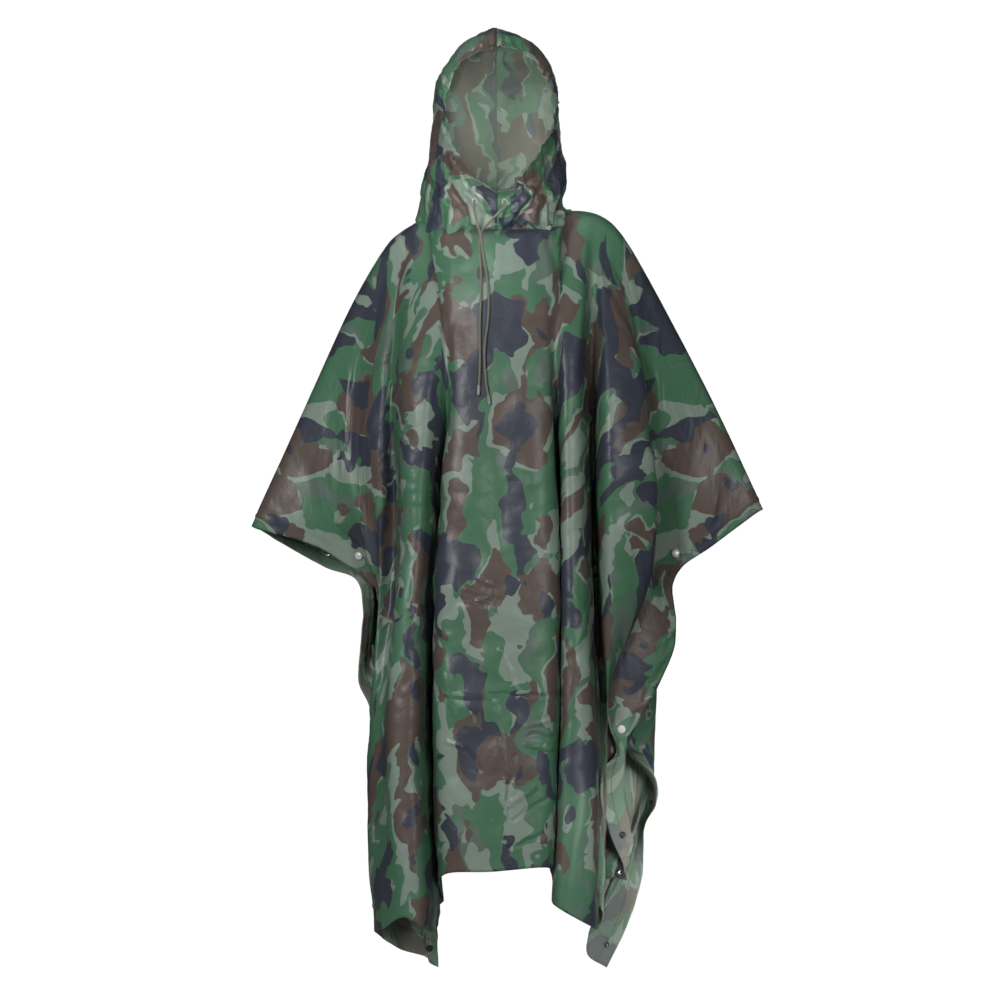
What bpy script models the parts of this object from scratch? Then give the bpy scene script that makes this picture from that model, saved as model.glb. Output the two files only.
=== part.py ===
"""Hooded rain poncho, hollow and hanging as it does on a standing figure.

One oblong sheet of coated cloth is folded over the shoulders, and a two-piece hood
is sewn into its neck hole. Snaps down the sides close the sheet into loose sleeves.
The frame has +X to the wearer's left, -Y to the front and +Z up. Its origin is the
middle of the neck hole, where the shoulders carry the cloth. Left and right are the
wearer's own.

The tables are in millimetres. A reach is how far a point lies out from the plane of
the shoulders, to the front on the front panel and to the back on the back one.
"""

import math

import bmesh
import bpy
import numpy as np
from mathutils import Matrix, Vector
from mathutils.bvhtree import BVHTree

MM = 0.001

# The cut of the sheet, its wall and its turned hem.
CLOTH_WIDTH = 1.440
HALF_LENGTH = 1.120
WALL = 0.0016
HEM_WALL = 0.0026
HEM_DEPTH = 0.045
SEAM_GAP = 0.0003
SEAM_STRIP = 0.003

# The neck hole is an oval, lower at the throat than at the nape.
NECK_HALF_WIDTH = 0.118
NECK_FRONT = 0.095
NECK_BACK = 0.080
THROAT_RISE = -0.012
NAPE_RISE = 0.026

# How tightly the cloth rolls off the shoulder, and how much flatter it is at the sleeve's tip.
SHOULDER_ROLL = 0.046
SLEEVE_FLATNESS = 0.72

# Grid steps from one fold line to the next, and rows from each level down to the next.
FOLD_STEPS = 3
TOP_ROWS = 6
TOP_CROWDING = 1.4
SLEEVE_LEVEL = 0.17
SIDE_LEVEL = 0.45
THIGH_LEVEL = 0.73
ROWS_TO_LEVEL = {SIDE_LEVEL: 5, THIGH_LEVEL: 4, 1 - HEM_DEPTH / HALF_LENGTH: 3}

# s is the way along the cloth from its middle, out over the shoulder and down the arm.
SHOULDER_COLUMNS = ("s", "x", "z")
SHOULDER = {
    "right": [
        (118, -118, 14),
        (138, -137, 8),
        (186, -175, -20),
        (226, -199, -53),
        (302, -237, -119),
        (720, -408, -495),
    ],
    "left": [
        (118, 118, 27),
        (162, 162, 24),
        (190, 187, 10),
        (227, 212, -17),
        (344, 270, -119),
        (459, 325, -219),
        (720, 442, -467),
    ],
}

# A row for each fold line, from the wearer's right hand to the left. s is where it
# starts on the shoulder line or at the neck hole, hem_z is how low its hem is, and lift
# is how far the sleeve's underside is gathered up at the chest.
STATIONS = {"chest": 0.20, "waist": 0.45, "knee": 0.72, "hem": 1.0}
FOLD_COLUMNS = ("s", "chest_x", "chest_reach", "waist_x", "waist_reach")
FOLD_COLUMNS += ("knee_x", "knee_reach", "hem_x", "hem_reach", "hem_z", "lift")
FRONT_FOLDS = [
    (-640, -222, 40, -176, 26, -176, 14, -116, -4, -1212, 56),  # sleeve
    (-520, -228, 58, -184, 34, -188, 25, -160, 15, -1195, 12),
    (-320, -220, 76, -190, 64, -212, 62, -196, 50, -1165, 0),  # under the arm
    (-255, -192, 112, -184, 108, -206, 100, -199, 95, -1152, 0),  # outer tube
    (-215, -162, 104, -165, 98, -188, 120, -188, 140, -1146, 0),  # its trough
    (-185, -146, 138, -156, 150, -172, 165, -148, 176, -1120, 0),  # great tube
    (-150, -94, 142, -112, 158, -122, 170, -106, 176, -1138, 0),
    (-118, -88, 128, -104, 108, -115, 108, -94, 112, -1148, 0),
    (-100, -80, 120, -98, 76, -108, 58, -92, 60, -1110, 0),  # deep trough
    (-70, -72, 152, -86, 160, -98, 168, -88, 165, -1053, 0),  # flat front
    (0, 5, 158, 3, 170, -2, 178, -10, 186, -1046, 0),
    (68, 85, 148, 90, 162, 91, 170, 86, 176, -1041, 0),
    (98, 92, 120, 98, 78, 98, 60, 92, 50, -1080, 0),  # deep trough
    (118, 104, 142, 105, 156, 104, 165, 95, 178, -1104, 0),  # middle tube
    (160, 136, 140, 143, 152, 150, 158, 148, 165, -1136, 0),
    (190, 158, 85, 160, 62, 163, 48, 156, 40, -1150, 0),  # deep trough
    (215, 172, 128, 170, 136, 170, 125, 166, 95, -1130, 0),  # arm tube
    (260, 232, 108, 252, 104, 170, 92, 162, 78, -1110, 0),
    (330, 242, 84, 258, 80, 164, 70, 160, 52, -1095, 0),  # under the arm
    (530, 262, 62, 208, 60, 152, 46, 170, 32, -1085, 0),  # sleeve
]
BACK_FOLDS = [
    (-520, -228, 60, -216, 75, -208, 85, -192, 100, -1150, 0),  # sleeve
    (-320, -216, 90, -208, 100, -202, 110, -188, 120, -1145, 0),  # under the arm
    (-240, -190, 100, -180, 85, -172, 75, -165, 70, -1135, 0),  # trough
    (-200, -165, 135, -160, 150, -152, 160, -148, 165, -1120, 0),  # tube
    (-150, -110, 140, -115, 155, -118, 165, -120, 172, -1100, 0),
    (-118, -88, 125, -92, 80, -95, 60, -98, 50, -1080, 0),  # trough
    (-75, -75, 150, -80, 162, -82, 170, -84, 178, -1062, 0),  # flat back
    (0, 0, 156, 0, 170, 2, 178, 4, 186, -1060, 0),
    (75, 72, 150, 75, 163, 76, 171, 78, 178, -1062, 0),
    (118, 84, 122, 88, 78, 90, 60, 92, 50, -1080, 0),  # trough
    (145, 98, 140, 104, 156, 106, 166, 108, 174, -1105, 0),  # tube
    (200, 158, 134, 160, 150, 160, 158, 158, 164, -1128, 0),
    (240, 182, 98, 188, 74, 188, 62, 182, 58, -1140, 0),  # trough
    (320, 222, 92, 225, 98, 215, 100, 195, 100, -1165, 0),  # under the arm
    (520, 255, 62, 264, 75, 248, 96, 190, 80, -1150, 0),  # sleeve
    (620, 280, 45, 268, 55, 254, 80, 162, 44, -1155, 22),
]

# The four side edges, each with the line that runs BORDER in from it, past the snaps.
# down is the share of the way to the hem's corner.
BORDER = 0.040
EDGE_COLUMNS = ("down", "x", "reach", "z", "in_x", "in_reach", "in_z")
EDGES = {
    "front_right": [
        (0.10, -305, 22, -526, -300, 28, -494),
        (0.17, -238, 12, -567, -226, 18, -535),
        (0.22, -212, 18, -590, -198, 30, -562),
        (0.27, -190, 25, -612, -170, 46, -594),
        (0.34, -184, 26, -690, -156, 40, -686),
        (0.45, -212, 2, -796, -176, 3, -794),
        (0.60, -186, 18, -890, -156, 32, -886),
        (0.72, -168, 10, -985, -140, 24, -980),
        (0.92, -104, -4, -1150, -120, 10, -1140),
        (1.00, -98, -10, -1228, -112, -6, -1220),
    ],
    "front_left": [
        (0.10, 356, 14, -528, 346, 20, -496),
        (0.17, 306, 2, -564, 292, 3, -529),
        (0.20, 290, 22, -590, 270, 34, -572),
        (0.30, 294, 40, -690, 266, 52, -684),
        (0.45, 222, 58, -836, 186, 62, -812),
        (0.50, 210, 60, -864, 188, 63, -834),
        (0.56, 178, 70, -886, 207, 60, -868),
        (0.66, 168, 72, -935, 206, 60, -924),
        (0.73, 186, 68, -1003, 218, 58, -994),
        (0.85, 206, 60, -1050, 222, 48, -1018),
        (1.00, 214, 42, -1078, 190, 52, -1072),
    ],
    "back_right": [
        (0.10, -345, 66, -535, -341, 74, -498),
        (0.17, -290, 88, -566, -282, 98, -531),
        (0.24, -236, 52, -586, -229, 64, -553),
        (0.29, -224, 32, -632, -206, 50, -620),
        (0.37, -232, 30, -752, -212, 52, -742),
        (0.45, -212, 3, -796, -176, 4, -794),
        (0.60, -209, 26, -885, -184, 44, -882),
        (0.72, -209, 35, -960, -186, 56, -958),
        (0.85, -204, 45, -1060, -184, 66, -1056),
        (1.00, -172, 60, -1160, -185, 86, -1158),
    ],
    "back_left": [
        (0.10, 356, 14, -528, 346, 20, -496),
        (0.17, 306, 3, -564, 292, 4, -529),
        (0.20, 288, 10, -592, 268, 22, -570),
        (0.30, 295, 30, -690, 268, 42, -684),
        (0.45, 222, -50, -836, 188, -50, -814),
        (0.51, 227, -45, -862, 197, -42, -848),
        (0.57, 246, 8, -880, 218, 20, -874),
        (0.66, 267, 26, -925, 258, 60, -922),
        (0.73, 266, 34, -961, 256, 68, -957),
        (0.79, 246, 44, -1004, 236, 76, -998),
        (0.88, 240, 30, -1085, 213, 44, -1080),
        (0.94, 219, 16, -1155, 186, 26, -1146),
        (1.00, 182, 0, -1228, 150, 4, -1206),
    ],
}

# The hood is a bent tube, from the neck hole up and round to the face. A row for each
# ring: its throat's reach and z, its centre seam's reach and z, its half widths to the
# wearer's right and left, how far up from the throat it is widest, how pointed its top is,
# and how much of it follows the edge of the neck hole.
RING_COLUMNS = ("throat_reach", "throat_z", "seam_reach", "seam_z", "right", "left")
RING_COLUMNS += ("widest", "peak", "neck")
HOOD_RINGS = [
    (95, -11, -80, 27, 118, 118, 0.50, 0.35, 1.0),
    (97, -3, -84, 38, 120, 120, 0.50, 0.35, 0.95),
    (103, 7, -102, 62, 120, 104, 0.50, 0.35, 0.5),
    (108, 18, -116, 112, 121, 117, 0.49, 0.35, 0.0),
    (112, 28, -124, 170, 113, 117, 0.475, 0.35, 0.0),
    (115, 36, -118, 224, 111, 104, 0.47, 0.35, 0.0),
    (118, 43, -88, 272, 110, 101, 0.485, 0.35, 0.0),
    (121, 47, -40, 304, 107, 99, 0.51, 0.35, 0.0),
    (124, 50, 25, 324, 102, 98, 0.52, 0.35, 0.0),
    (127, 51, 100, 311, 97, 96, 0.56, 0.30, 0.0),
    (129, 52, 148, 277, 92, 92, 0.59, 0.18, 0.0),
]
HOOD_STRIPS = 14
RING_STEPS = 2
CASING_WALL = 0.0030
NECK_SEAM_RISE = 0.0026

# The drawcord comes out of two eyelets below the face and hangs in two free ends, each
# with a clear plastic tip. The cord's points are x, y and z.
EYELET_RADIUS = 0.0039
EYELET_BEAD = 0.0012
EYELETS = {"right": (-35.6, 35.1), "left": (12.3, 33.3)}  # x and z of each
CORD_DIAMETER = 0.0040
CORD_POINTS = 40
TIP_DIAMETER = 0.0048
TIP_LENGTH = 0.015
CORDS = {
    "right": [
        (-35.9, -110.4, 34.8),
        (-36.8, -114.0, 33.7),
        (-37.6, -117.8, 30.2),
        (-37.5, -119.6, 24.2),
        (-35.9, -119.5, 13.0),
        (-32.2, -119.8, -3.0),
        (-28.2, -120.6, -18.5),
        (-29.0, -126.0, -36.7),
        (-27.0, -136.2, -60.0),
        (-25.2, -140.6, -83.3),
        (-25.6, -148.4, -122.6),
        (-27.3, -154.8, -161.7),
        (-27.4, -159.0, -194.1),
        (-27.2, -163.0, -226.5),
        (-27.9, -166.4, -252.0),
        (-28.9, -167.8, -268.0),
    ],
    "left": [
        (12.4, -114.4, 33.0),
        (12.5, -118.0, 31.9),
        (12.0, -121.6, 28.3),
        (10.2, -123.4, 22.6),
        (3.4, -124.0, 14.5),
        (-12.9, -125.2, -2.5),
        (-25.6, -126.2, -18.0),
        (-24.2, -130.2, -36.0),
        (-19.6, -138.0, -66.0),
        (-15.0, -144.2, -96.5),
        (-12.9, -149.2, -122.6),
        (-14.4, -155.3, -161.7),
        (-18.6, -159.8, -194.1),
        (-20.0, -163.0, -218.4),
        (-19.1, -166.0, -245.9),
        (-16.4, -168.2, -270.0),
        (-14.2, -169.0, -283.0),
    ],
}

# A row for each snap: whose hand it is on, how far down the edge it is, how far in from
# the edge, and whether it is shut, front on back.
CORNER_LEVEL = 0.975
SNAP_COLUMNS = ("hand", "level", "down", "inset", "shut")
SNAPS = [
    ("right", "sleeve", SLEEVE_LEVEL, 26, False),
    ("right", "side", SIDE_LEVEL, 14, True),
    ("right", "thigh", THIGH_LEVEL, 20, False),
    ("right", "corner", CORNER_LEVEL, 17, False),
    ("left", "sleeve", SLEEVE_LEVEL, 26, True),
    ("left", "side", SIDE_LEVEL, 20, True),
    ("left", "thigh", THIGH_LEVEL, 20, False),
    ("left", "corner", CORNER_LEVEL, 17, False),
]
# The outlines of their pieces, as radius and height above the cloth.
SNAP_SIDES = 8
SNAP_PIECES = {
    "cap": [(0.0, 0.0), (7.0, 0.0), (7.0, 0.5), (5.8, 1.6), (3.4, 2.2), (0.0, 2.4)],
    "post": [(0.0, 0.0), (5.4, 0.0), (5.4, 0.5), (4.2, 1.1), (0.0, 1.1)],
    "socket": [(0.0, 0.0), (6.0, 0.0), (6.0, 1.1), (4.6, 2.1), (2.6, 2.1), (2.2, 0.9), (0.0, 0.9)],
    "stud": [(0.0, 0.0), (5.4, 0.0), (5.4, 0.8), (2.2, 1.1), (1.8, 1.8), (2.1, 2.5), (0.0, 2.9)],
}
SHUT_SNAP_RADIUS = 4.0
# How far above the cloth, and at how many angles, the wall under a piece is looked for.
SEEK_HEIGHT = 0.008
SEEK_ANGLES = 24


def table(columns, rows):
    """The rows as dictionaries, with lengths in metres and shares as they are."""
    shares = ("down", "widest", "peak", "neck")
    return [{name: v if name in shares else v * MM for name, v in zip(columns, row)} for row in rows]


def through(points, steps):
    """A smooth curve through the points, with this many steps from each to the next."""
    points = np.asarray(points, float)
    padded = np.vstack([2 * points[0] - points[1], points, 2 * points[-1] - points[-2]])
    spans = np.linalg.norm(np.diff(padded, axis=0), axis=1)
    knots = np.concatenate([[0.0], np.cumsum(np.sqrt(np.maximum(spans, 1e-9)))])
    curve = []
    for i in range(len(points) - 1):
        p = padded[i : i + 4]
        k = knots[i : i + 4]
        t = (k[1] + (k[2] - k[1]) * np.arange(steps) / steps)[:, None]
        a = [((k[j + 1] - t) * p[j] + (t - k[j]) * p[j + 1]) / (k[j + 1] - k[j]) for j in range(3)]
        b = [((k[j + 2] - t) * a[j] + (t - k[j]) * a[j + 1]) / (k[j + 2] - k[j]) for j in range(2)]
        curve.append(((k[2] - t) * b[0] + (t - k[1]) * b[1]) / (k[2] - k[1]))
    return np.vstack(curve + [points[-1:]])


def at_shares(curve, shares):
    """Points of a curve whose own shares are its fourth column."""
    return np.stack([np.interp(shares, curve[:, 3], curve[:, k]) for k in range(3)], axis=-1)


# ---------------------------------------------------------------- the sheet


def shoulder(s):
    """The point of the shoulder line at s from the middle of the cloth."""
    rows = table(SHOULDER_COLUMNS, SHOULDER["right" if s < 0 else "left"])
    along = [row["s"] for row in rows]
    x = np.interp(abs(s), along, [row["x"] for row in rows])
    z = np.interp(abs(s), along, [row["z"] for row in rows])
    return np.array([x, 0.0, z])


def shoulder_fall(s):
    """The way that the cloth falls from the shoulder line at s, square to the line."""
    step = 0.03
    inner = shoulder(s - math.copysign(step, s))
    outer = shoulder(s + math.copysign(step, s))
    along = (outer - inner) / np.linalg.norm(outer - inner)
    fall = np.array([-along[2], 0.0, along[0]])
    return -fall if fall[2] > 0 else fall


def neckline(x, front):
    """The point of the neck hole's edge at x, on the throat's side or the nape's."""
    across = math.sqrt(max(0.0, 1 - (x / NECK_HALF_WIDTH) ** 2))
    middle = THROAT_RISE if front else NAPE_RISE
    y = -NECK_FRONT * across if front else NECK_BACK * across
    rises = [shoulder(-NECK_HALF_WIDTH)[2], shoulder(NECK_HALF_WIDTH)[2]]
    side_rise = np.interp(x, [-NECK_HALF_WIDTH, NECK_HALF_WIDTH], rises)
    return np.array([x, y, side_rise + (middle - side_rise) * across])


def rolled_start(s, facing):
    """The first points of a line down the cloth, off the shoulder or off the neck hole.

    Each is x, y, z and its share of the way to the hem.
    """
    if abs(s) < NECK_HALF_WIDTH:
        top = neckline(s, facing < 0)
        below = top + np.array([top[0] * 0.06, facing * 0.026, -0.016])
        return [(*top, 0.0), (*below, 0.028)]
    top = shoulder(s)
    fall = shoulder_fall(s)
    out = np.array([0.0, facing, 0.0])
    beyond = (abs(s) - NECK_HALF_WIDTH) / (CLOTH_WIDTH / 2 - NECK_HALF_WIDTH)
    roll = SHOULDER_ROLL * (1 - SLEEVE_FLATNESS * beyond)
    return [
        (*(top + out * SEAM_GAP / 2), 0.0),
        (*(top + out * SEAM_STRIP), SEAM_STRIP / HALF_LENGTH),
        (*(top + out * 0.62 * roll + fall * 0.16 * roll), 0.65 * roll / HALF_LENGTH),
        (*(top + out * 1.05 * roll + fall * 0.80 * roll), 1.40 * roll / HALF_LENGTH),
    ]


def fold_line(row, facing):
    """The curve of one fold line, from the shoulder or neck to the hem."""
    points = rolled_start(row["s"], facing)
    top = points[0][2]
    for name, share in STATIONS.items():
        z = top + share * (row["hem_z"] - top) + (row["lift"] if name == "chest" else 0)
        points.append((row[name + "_x"], facing * row[name + "_reach"], z, share))
    return through(points, 12)


def edge_line(side, hand, inner=""):
    """The curve of one side edge from the sleeve's tip to the hem's corner, or of its inner line."""
    facing = -1 if side == "front" else 1
    s = CLOTH_WIDTH / 2 - (BORDER if inner else 0)
    points = rolled_start(-s if hand == "right" else s, facing)
    for row in table(EDGE_COLUMNS, EDGES[f"{side}_{hand}"]):
        points.append((row[inner + "x"], facing * row[inner + "reach"], row[inner + "z"], row["down"]))
    return through(points, 12)


def row_shares():
    """How far down each row of a panel's grid is: the seam's strip, the rows, the hem."""
    strip = SEAM_STRIP / HALF_LENGTH
    shares = [0.0, *(strip + (SLEEVE_LEVEL - strip) * np.linspace(0, 1, TOP_ROWS + 1) ** TOP_CROWDING)]
    for level, rows in ROWS_TO_LEVEL.items():
        shares += list(np.linspace(shares[-1], level, rows + 1)[1:])
    return np.array([*shares, 1.0])


def panel_points(side):
    """The points of the front or back half, as rows from the shoulder to the hem."""
    facing = -1 if side == "front" else 1
    folds = table(FOLD_COLUMNS, FRONT_FOLDS if side == "front" else BACK_FOLDS)
    lines = [edge_line(side, "right"), edge_line(side, "right", "in_")]
    lines += [fold_line(row, facing) for row in folds]
    lines += [edge_line(side, "left", "in_"), edge_line(side, "left")]
    net = np.array([at_shares(line, row_shares()) for line in lines])
    points = np.array([through(row, FOLD_STEPS) for row in net.transpose(1, 0, 2)])
    for row, least in ((0, SEAM_GAP / 2), (1, SEAM_STRIP), (2, SEAM_STRIP)):
        points[row, :, 1] = facing * np.maximum(facing * points[row, :, 1], least)
    return points


def grid_object(name, points, collection, made_of, reverse):
    """A named open surface of the points, which stand in rows."""
    rows, columns = points.shape[:2]
    shape = bmesh.new()
    bmesh.ops.create_grid(shape, x_segments=columns - 1, y_segments=rows - 1, size=0.5)
    row_layer = shape.verts.layers.int.new("row")
    for vertex in shape.verts:
        column = round((vertex.co.x + 0.5) * (columns - 1))
        row = round((0.5 - vertex.co.y) * (rows - 1))
        vertex[row_layer] = row
        vertex.co = Vector(points[row, column])
    if reverse:
        bmesh.ops.reverse_faces(shape, faces=shape.faces)
    mesh = bpy.data.meshes.new(name)
    shape.to_mesh(mesh)
    shape.free()
    mesh.shade_smooth()
    return add(name, mesh, collection, made_of)


def add(name, data, collection, made_of):
    thing = bpy.data.objects.new(name, data)
    thing.data.materials.append(made_of)
    collection.objects.link(thing)
    return thing


def give_wall(thing, turned_wall, turned_rows):
    """Turns an open surface into a wall, thicker on its turned rows."""
    doubled = thing.vertex_groups.new(name="doubled")
    rows = thing.data.attributes["row"].data
    doubled.add([i for i, row in enumerate(rows) if row.value in turned_rows], 1.0, "REPLACE")
    wall = thing.modifiers.new("wall", "SOLIDIFY")
    wall.thickness = turned_wall
    wall.offset = 0.0
    wall.vertex_group = doubled.name
    wall.thickness_vertex_group = WALL / turned_wall


# ---------------------------------------------------------------- the hood


def ring_point(row, sign, turn):
    """A ring's point at this turn, from the throat at 0 to the centre seam at 1."""
    throat = np.array([0.0, -row["throat_reach"], row["throat_z"]])
    seam = np.array([0.0, -row["seam_reach"], row["seam_z"]])
    up = (1 - math.cos(math.pi * turn)) / 2
    place = throat + (seam - throat) * up ** (math.log(row["widest"]) / math.log(0.5))
    half = row["left"] if sign > 0 else row["right"]
    place[0] = sign * half * math.sin(math.pi * turn) ** (1 + row["peak"] * up**2)
    return place


def neck_edge(panels, sign, turns):
    """Points of the neck hole's edge on one hand, from the throat round to the nape."""
    halves = []
    for side in ("front", "back"):
        edge = panels[side][0]
        edge = edge[np.argsort(edge[:, 0] * sign)]
        across = np.linspace(0, NECK_HALF_WIDTH, 61)
        half = [np.interp(across, edge[:, 0] * sign, edge[:, k]) for k in range(3)]
        halves.append(np.stack(half, axis=-1))
    edge = np.concatenate([halves[0], halves[1][::-1]])
    run = np.concatenate([[0.0], np.cumsum(np.linalg.norm(np.diff(edge, axis=0), axis=1))])
    points = np.stack([np.interp(turns * run[-1], run, edge[:, k]) for k in range(3)], axis=-1)
    return points + np.array([0.0, 0.0, NECK_SEAM_RISE])


def hood_points(hand, panels):
    """The points of one half of the hood, as rows from the neck hole to the face."""
    sign = -1 if hand == "right" else 1
    turns = np.linspace(0, 1, HOOD_STRIPS + 1)
    rows = table(RING_COLUMNS, HOOD_RINGS)
    rings = np.array([[ring_point(row, sign, turn) for turn in turns] for row in rows])
    shift = neck_edge(panels, sign, turns) - rings[0]
    rings += shift * np.array([row["neck"] for row in rows])[:, None, None]
    points = np.array([through(line, RING_STEPS) for line in rings.transpose(1, 0, 2)]).transpose(1, 0, 2)
    strips = points[:, [0, -1]].copy()
    strips[..., 0] = sign * SEAM_STRIP
    inner = points[:, 1:-1]
    points = np.concatenate([points[:, :1], strips[:, :1], inner, strips[:, 1:], points[:, -1:]], axis=1)
    points[:, [0, -1], 0] = sign * SEAM_GAP / 2
    return points


# ---------------------------------------------------------------- eyelets, cords, snaps


def surface_at(points, x, z):
    """Where the front of a surface has this x and z, and its normal there."""
    flat = points.reshape(-1, 3)
    flat = flat[flat[:, 1] < -NECK_FRONT]
    near = flat[np.argsort(np.hypot(flat[:, 0] - x, flat[:, 2] - z))[:6]]
    middle = near.mean(axis=0)
    normal = np.linalg.svd(near - middle)[2][-1]
    if normal[1] > 0:
        normal = -normal
    y = middle[1] - (normal[0] * (x - middle[0]) + normal[2] * (z - middle[2])) / normal[1]
    return np.array([x, y, z]), normal


def wall_tree(thing):
    """The walls of a piece of cloth, for finding how high they stand."""
    return BVHTree.FromObject(thing, bpy.context.evaluated_depsgraph_get())


def seat_height(tree, place, axis, radius):
    """How far out along the axis a flat disc of this radius clears the wall below it."""
    down = -Vector(axis)
    turn = Vector(axis).to_track_quat("Z", "Y")
    heights = []
    for share in (0.0, 0.35, 0.7, 1.0):
        for angle in np.linspace(0, 2 * math.pi, SEEK_ANGLES, endpoint=False):
            aside = Vector((math.cos(angle), math.sin(angle), 0)) * radius * share
            start = Vector(place) + turn @ (aside + Vector((0, 0, SEEK_HEIGHT)))
            distance = tree.ray_cast(start, down, 2 * SEEK_HEIGHT)[3]
            if distance is not None:
                heights.append(SEEK_HEIGHT - distance)
    return max(heights) + SEAM_GAP


def snap_place(points, facing, hand, down, inset):
    """A snap's place on a panel and the panel's normal there, on its outer side."""
    shares = row_shares()
    i = int(np.searchsorted(shares, down))
    weight = (down - shares[i - 1]) / (shares[i] - shares[i - 1])
    points = points if hand == "right" else points[:, ::-1]
    line = points[i - 1] * (1 - weight) + points[i] * weight
    below = points[min(i + round(weight), len(points) - 1)]
    run = np.concatenate([[0.0], np.cumsum(np.linalg.norm(np.diff(line, axis=0), axis=1))])
    place = np.array([np.interp(inset, run, line[:, k]) for k in range(3)])
    j = int(np.searchsorted(run, inset))
    normal = np.cross(line[j] - line[j - 1], below[j] - points[i - 1][j])
    normal *= facing * (1 if hand == "right" else -1)
    return place, normal / np.linalg.norm(normal)


def turned(name, outline, place, axis, collection, made_of):
    """A turned piece: an outline of radii and heights, spun about an axis at a place."""
    shape = bmesh.new()
    corners = [shape.verts.new((radius, 0.0, height)) for radius, height in outline]
    rim = [shape.edges.new(pair) for pair in zip(corners, corners[1:])]
    bmesh.ops.spin(
        shape,
        geom=corners + rim,
        cent=(0, 0, 0),
        axis=(0, 0, 1),
        angle=2 * math.pi,
        steps=SNAP_SIDES,
        use_merge=True,
    )
    bmesh.ops.remove_doubles(shape, verts=shape.verts, dist=1e-6)
    bmesh.ops.recalc_face_normals(shape, faces=shape.faces)
    mesh = bpy.data.meshes.new(name)
    shape.to_mesh(mesh)
    shape.free()
    mesh.shade_smooth()
    mesh.set_sharp_from_angle(angle=math.radians(40))
    thing = add(name, mesh, collection, made_of)
    turn = Vector(axis).to_track_quat("Z", "Y").to_matrix().to_4x4()
    thing.matrix_world = Matrix.Translation(Vector(place)) @ turn
    return thing


def snap_outline(piece):
    return [(radius * MM, height * MM) for radius, height in SNAP_PIECES[piece]]


def make_snap(row, panels, trees, collection, plate, steel):
    """The pieces of one snap: cap and socket on the front panel, stud and post on the back."""
    name = f"snap_{row['hand']}_{row['level']}"
    seats = {}
    for side, facing in (("front", -1), ("back", 1)):
        seats[side] = snap_place(panels[side], facing, row["hand"], row["down"], row["inset"] * MM)
    if row["shut"]:
        between = seats["front"][0] - seats["back"][0]
        apart = np.linalg.norm(between)
        seats = {"front": (seats["front"][0], between / apart), "back": (seats["back"][0], -between / apart)}
        make_shut_core(name, seats, trees, apart, collection, steel)
    for side, outer, inner in (("front", "cap", "socket"), ("back", "post", "stud")):
        place, out = seats[side]
        for piece, axis in ((outer, out), (inner, -out)):
            if piece == inner and row["shut"]:
                continue
            outline = snap_outline(piece)
            rise = seat_height(trees[side], place, axis, max(radius for radius, _ in outline))
            metal = plate if piece == "cap" else steel
            turned(f"{name}_{piece}", outline, place + axis * rise, axis, collection, metal)


def make_shut_core(name, seats, trees, apart, collection, steel):
    """The socket with the stud pressed into it, between the two panels of a shut snap."""
    place, axis = seats["back"]
    radius = SHUT_SNAP_RADIUS * MM
    low = seat_height(trees["back"], place, -axis, radius)
    high = apart - seat_height(trees["front"], seats["front"][0], axis, radius)
    outline = [(0.0, 0.0), (radius, 0.0), (radius, high - low), (0.0, high - low)]
    turned(f"{name}_shut", outline, place - axis * low, -axis, collection, steel)


def make_cord(hand, collection, braid, plastic):
    """One free end of the drawcord, and its tip."""
    route = through(np.array(CORDS[hand]) * MM, 12)
    run = np.concatenate([[0.0], np.cumsum(np.linalg.norm(np.diff(route, axis=0), axis=1))])
    at = np.linspace(0, run[-1], CORD_POINTS)
    points = np.stack([np.interp(at, run, route[:, k]) for k in range(3)], axis=-1)
    line = bpy.data.curves.new(f"drawcord_{hand}", "CURVE")
    line.dimensions = "3D"
    line.bevel_depth = CORD_DIAMETER / 2
    line.bevel_resolution = 2
    line.use_fill_caps = True
    spline = line.splines.new("POLY")
    spline.points.add(len(points) - 1)
    for point, place in zip(spline.points, points):
        point.co = (*place, 1)
    add(f"drawcord_{hand}", line, collection, braid)
    axis = points[-1] - points[-2]
    axis /= np.linalg.norm(axis)
    radius = TIP_DIAMETER / 2
    bevel = 0.001
    outline = [(0.0, 0.0), (radius, 0.0), (radius, TIP_LENGTH - bevel)]
    outline += [(radius - bevel, TIP_LENGTH), (0.0, TIP_LENGTH)]
    turned(f"cord_tip_{hand}", outline, points[-1] + axis * SEAM_GAP, axis, collection, plastic)


def make_eyelet(hand, hood, tree, collection, steel):
    """A round metal eyelet on one half of the hood."""
    x, z = EYELETS[hand]
    place, out = surface_at(hood, x * MM, z * MM)
    rise = seat_height(tree, place, out, EYELET_RADIUS + EYELET_BEAD)
    bpy.ops.mesh.primitive_torus_add(
        major_radius=EYELET_RADIUS,
        minor_radius=EYELET_BEAD,
        major_segments=14,
        minor_segments=6,
        location=place + out * (rise + EYELET_BEAD),
        rotation=Vector(out).to_track_quat("Z", "Y").to_euler(),
    )
    eyelet = bpy.context.object
    eyelet.name = f"eyelet_{hand}"
    eyelet.data.materials.append(steel)
    eyelet.data.shade_smooth()
    for held in list(eyelet.users_collection):
        held.objects.unlink(eyelet)
    collection.objects.link(eyelet)


def material(name, colour, roughness, metallic=0.0):
    made = bpy.data.materials.new(name)
    made.use_nodes = True
    shader = made.node_tree.nodes["Principled BSDF"]
    shader.inputs["Base Color"].default_value = (*colour, 1)
    shader.inputs["Roughness"].default_value = roughness
    shader.inputs["Metallic"].default_value = metallic
    made.diffuse_color = (*colour, 1)
    return made


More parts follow.
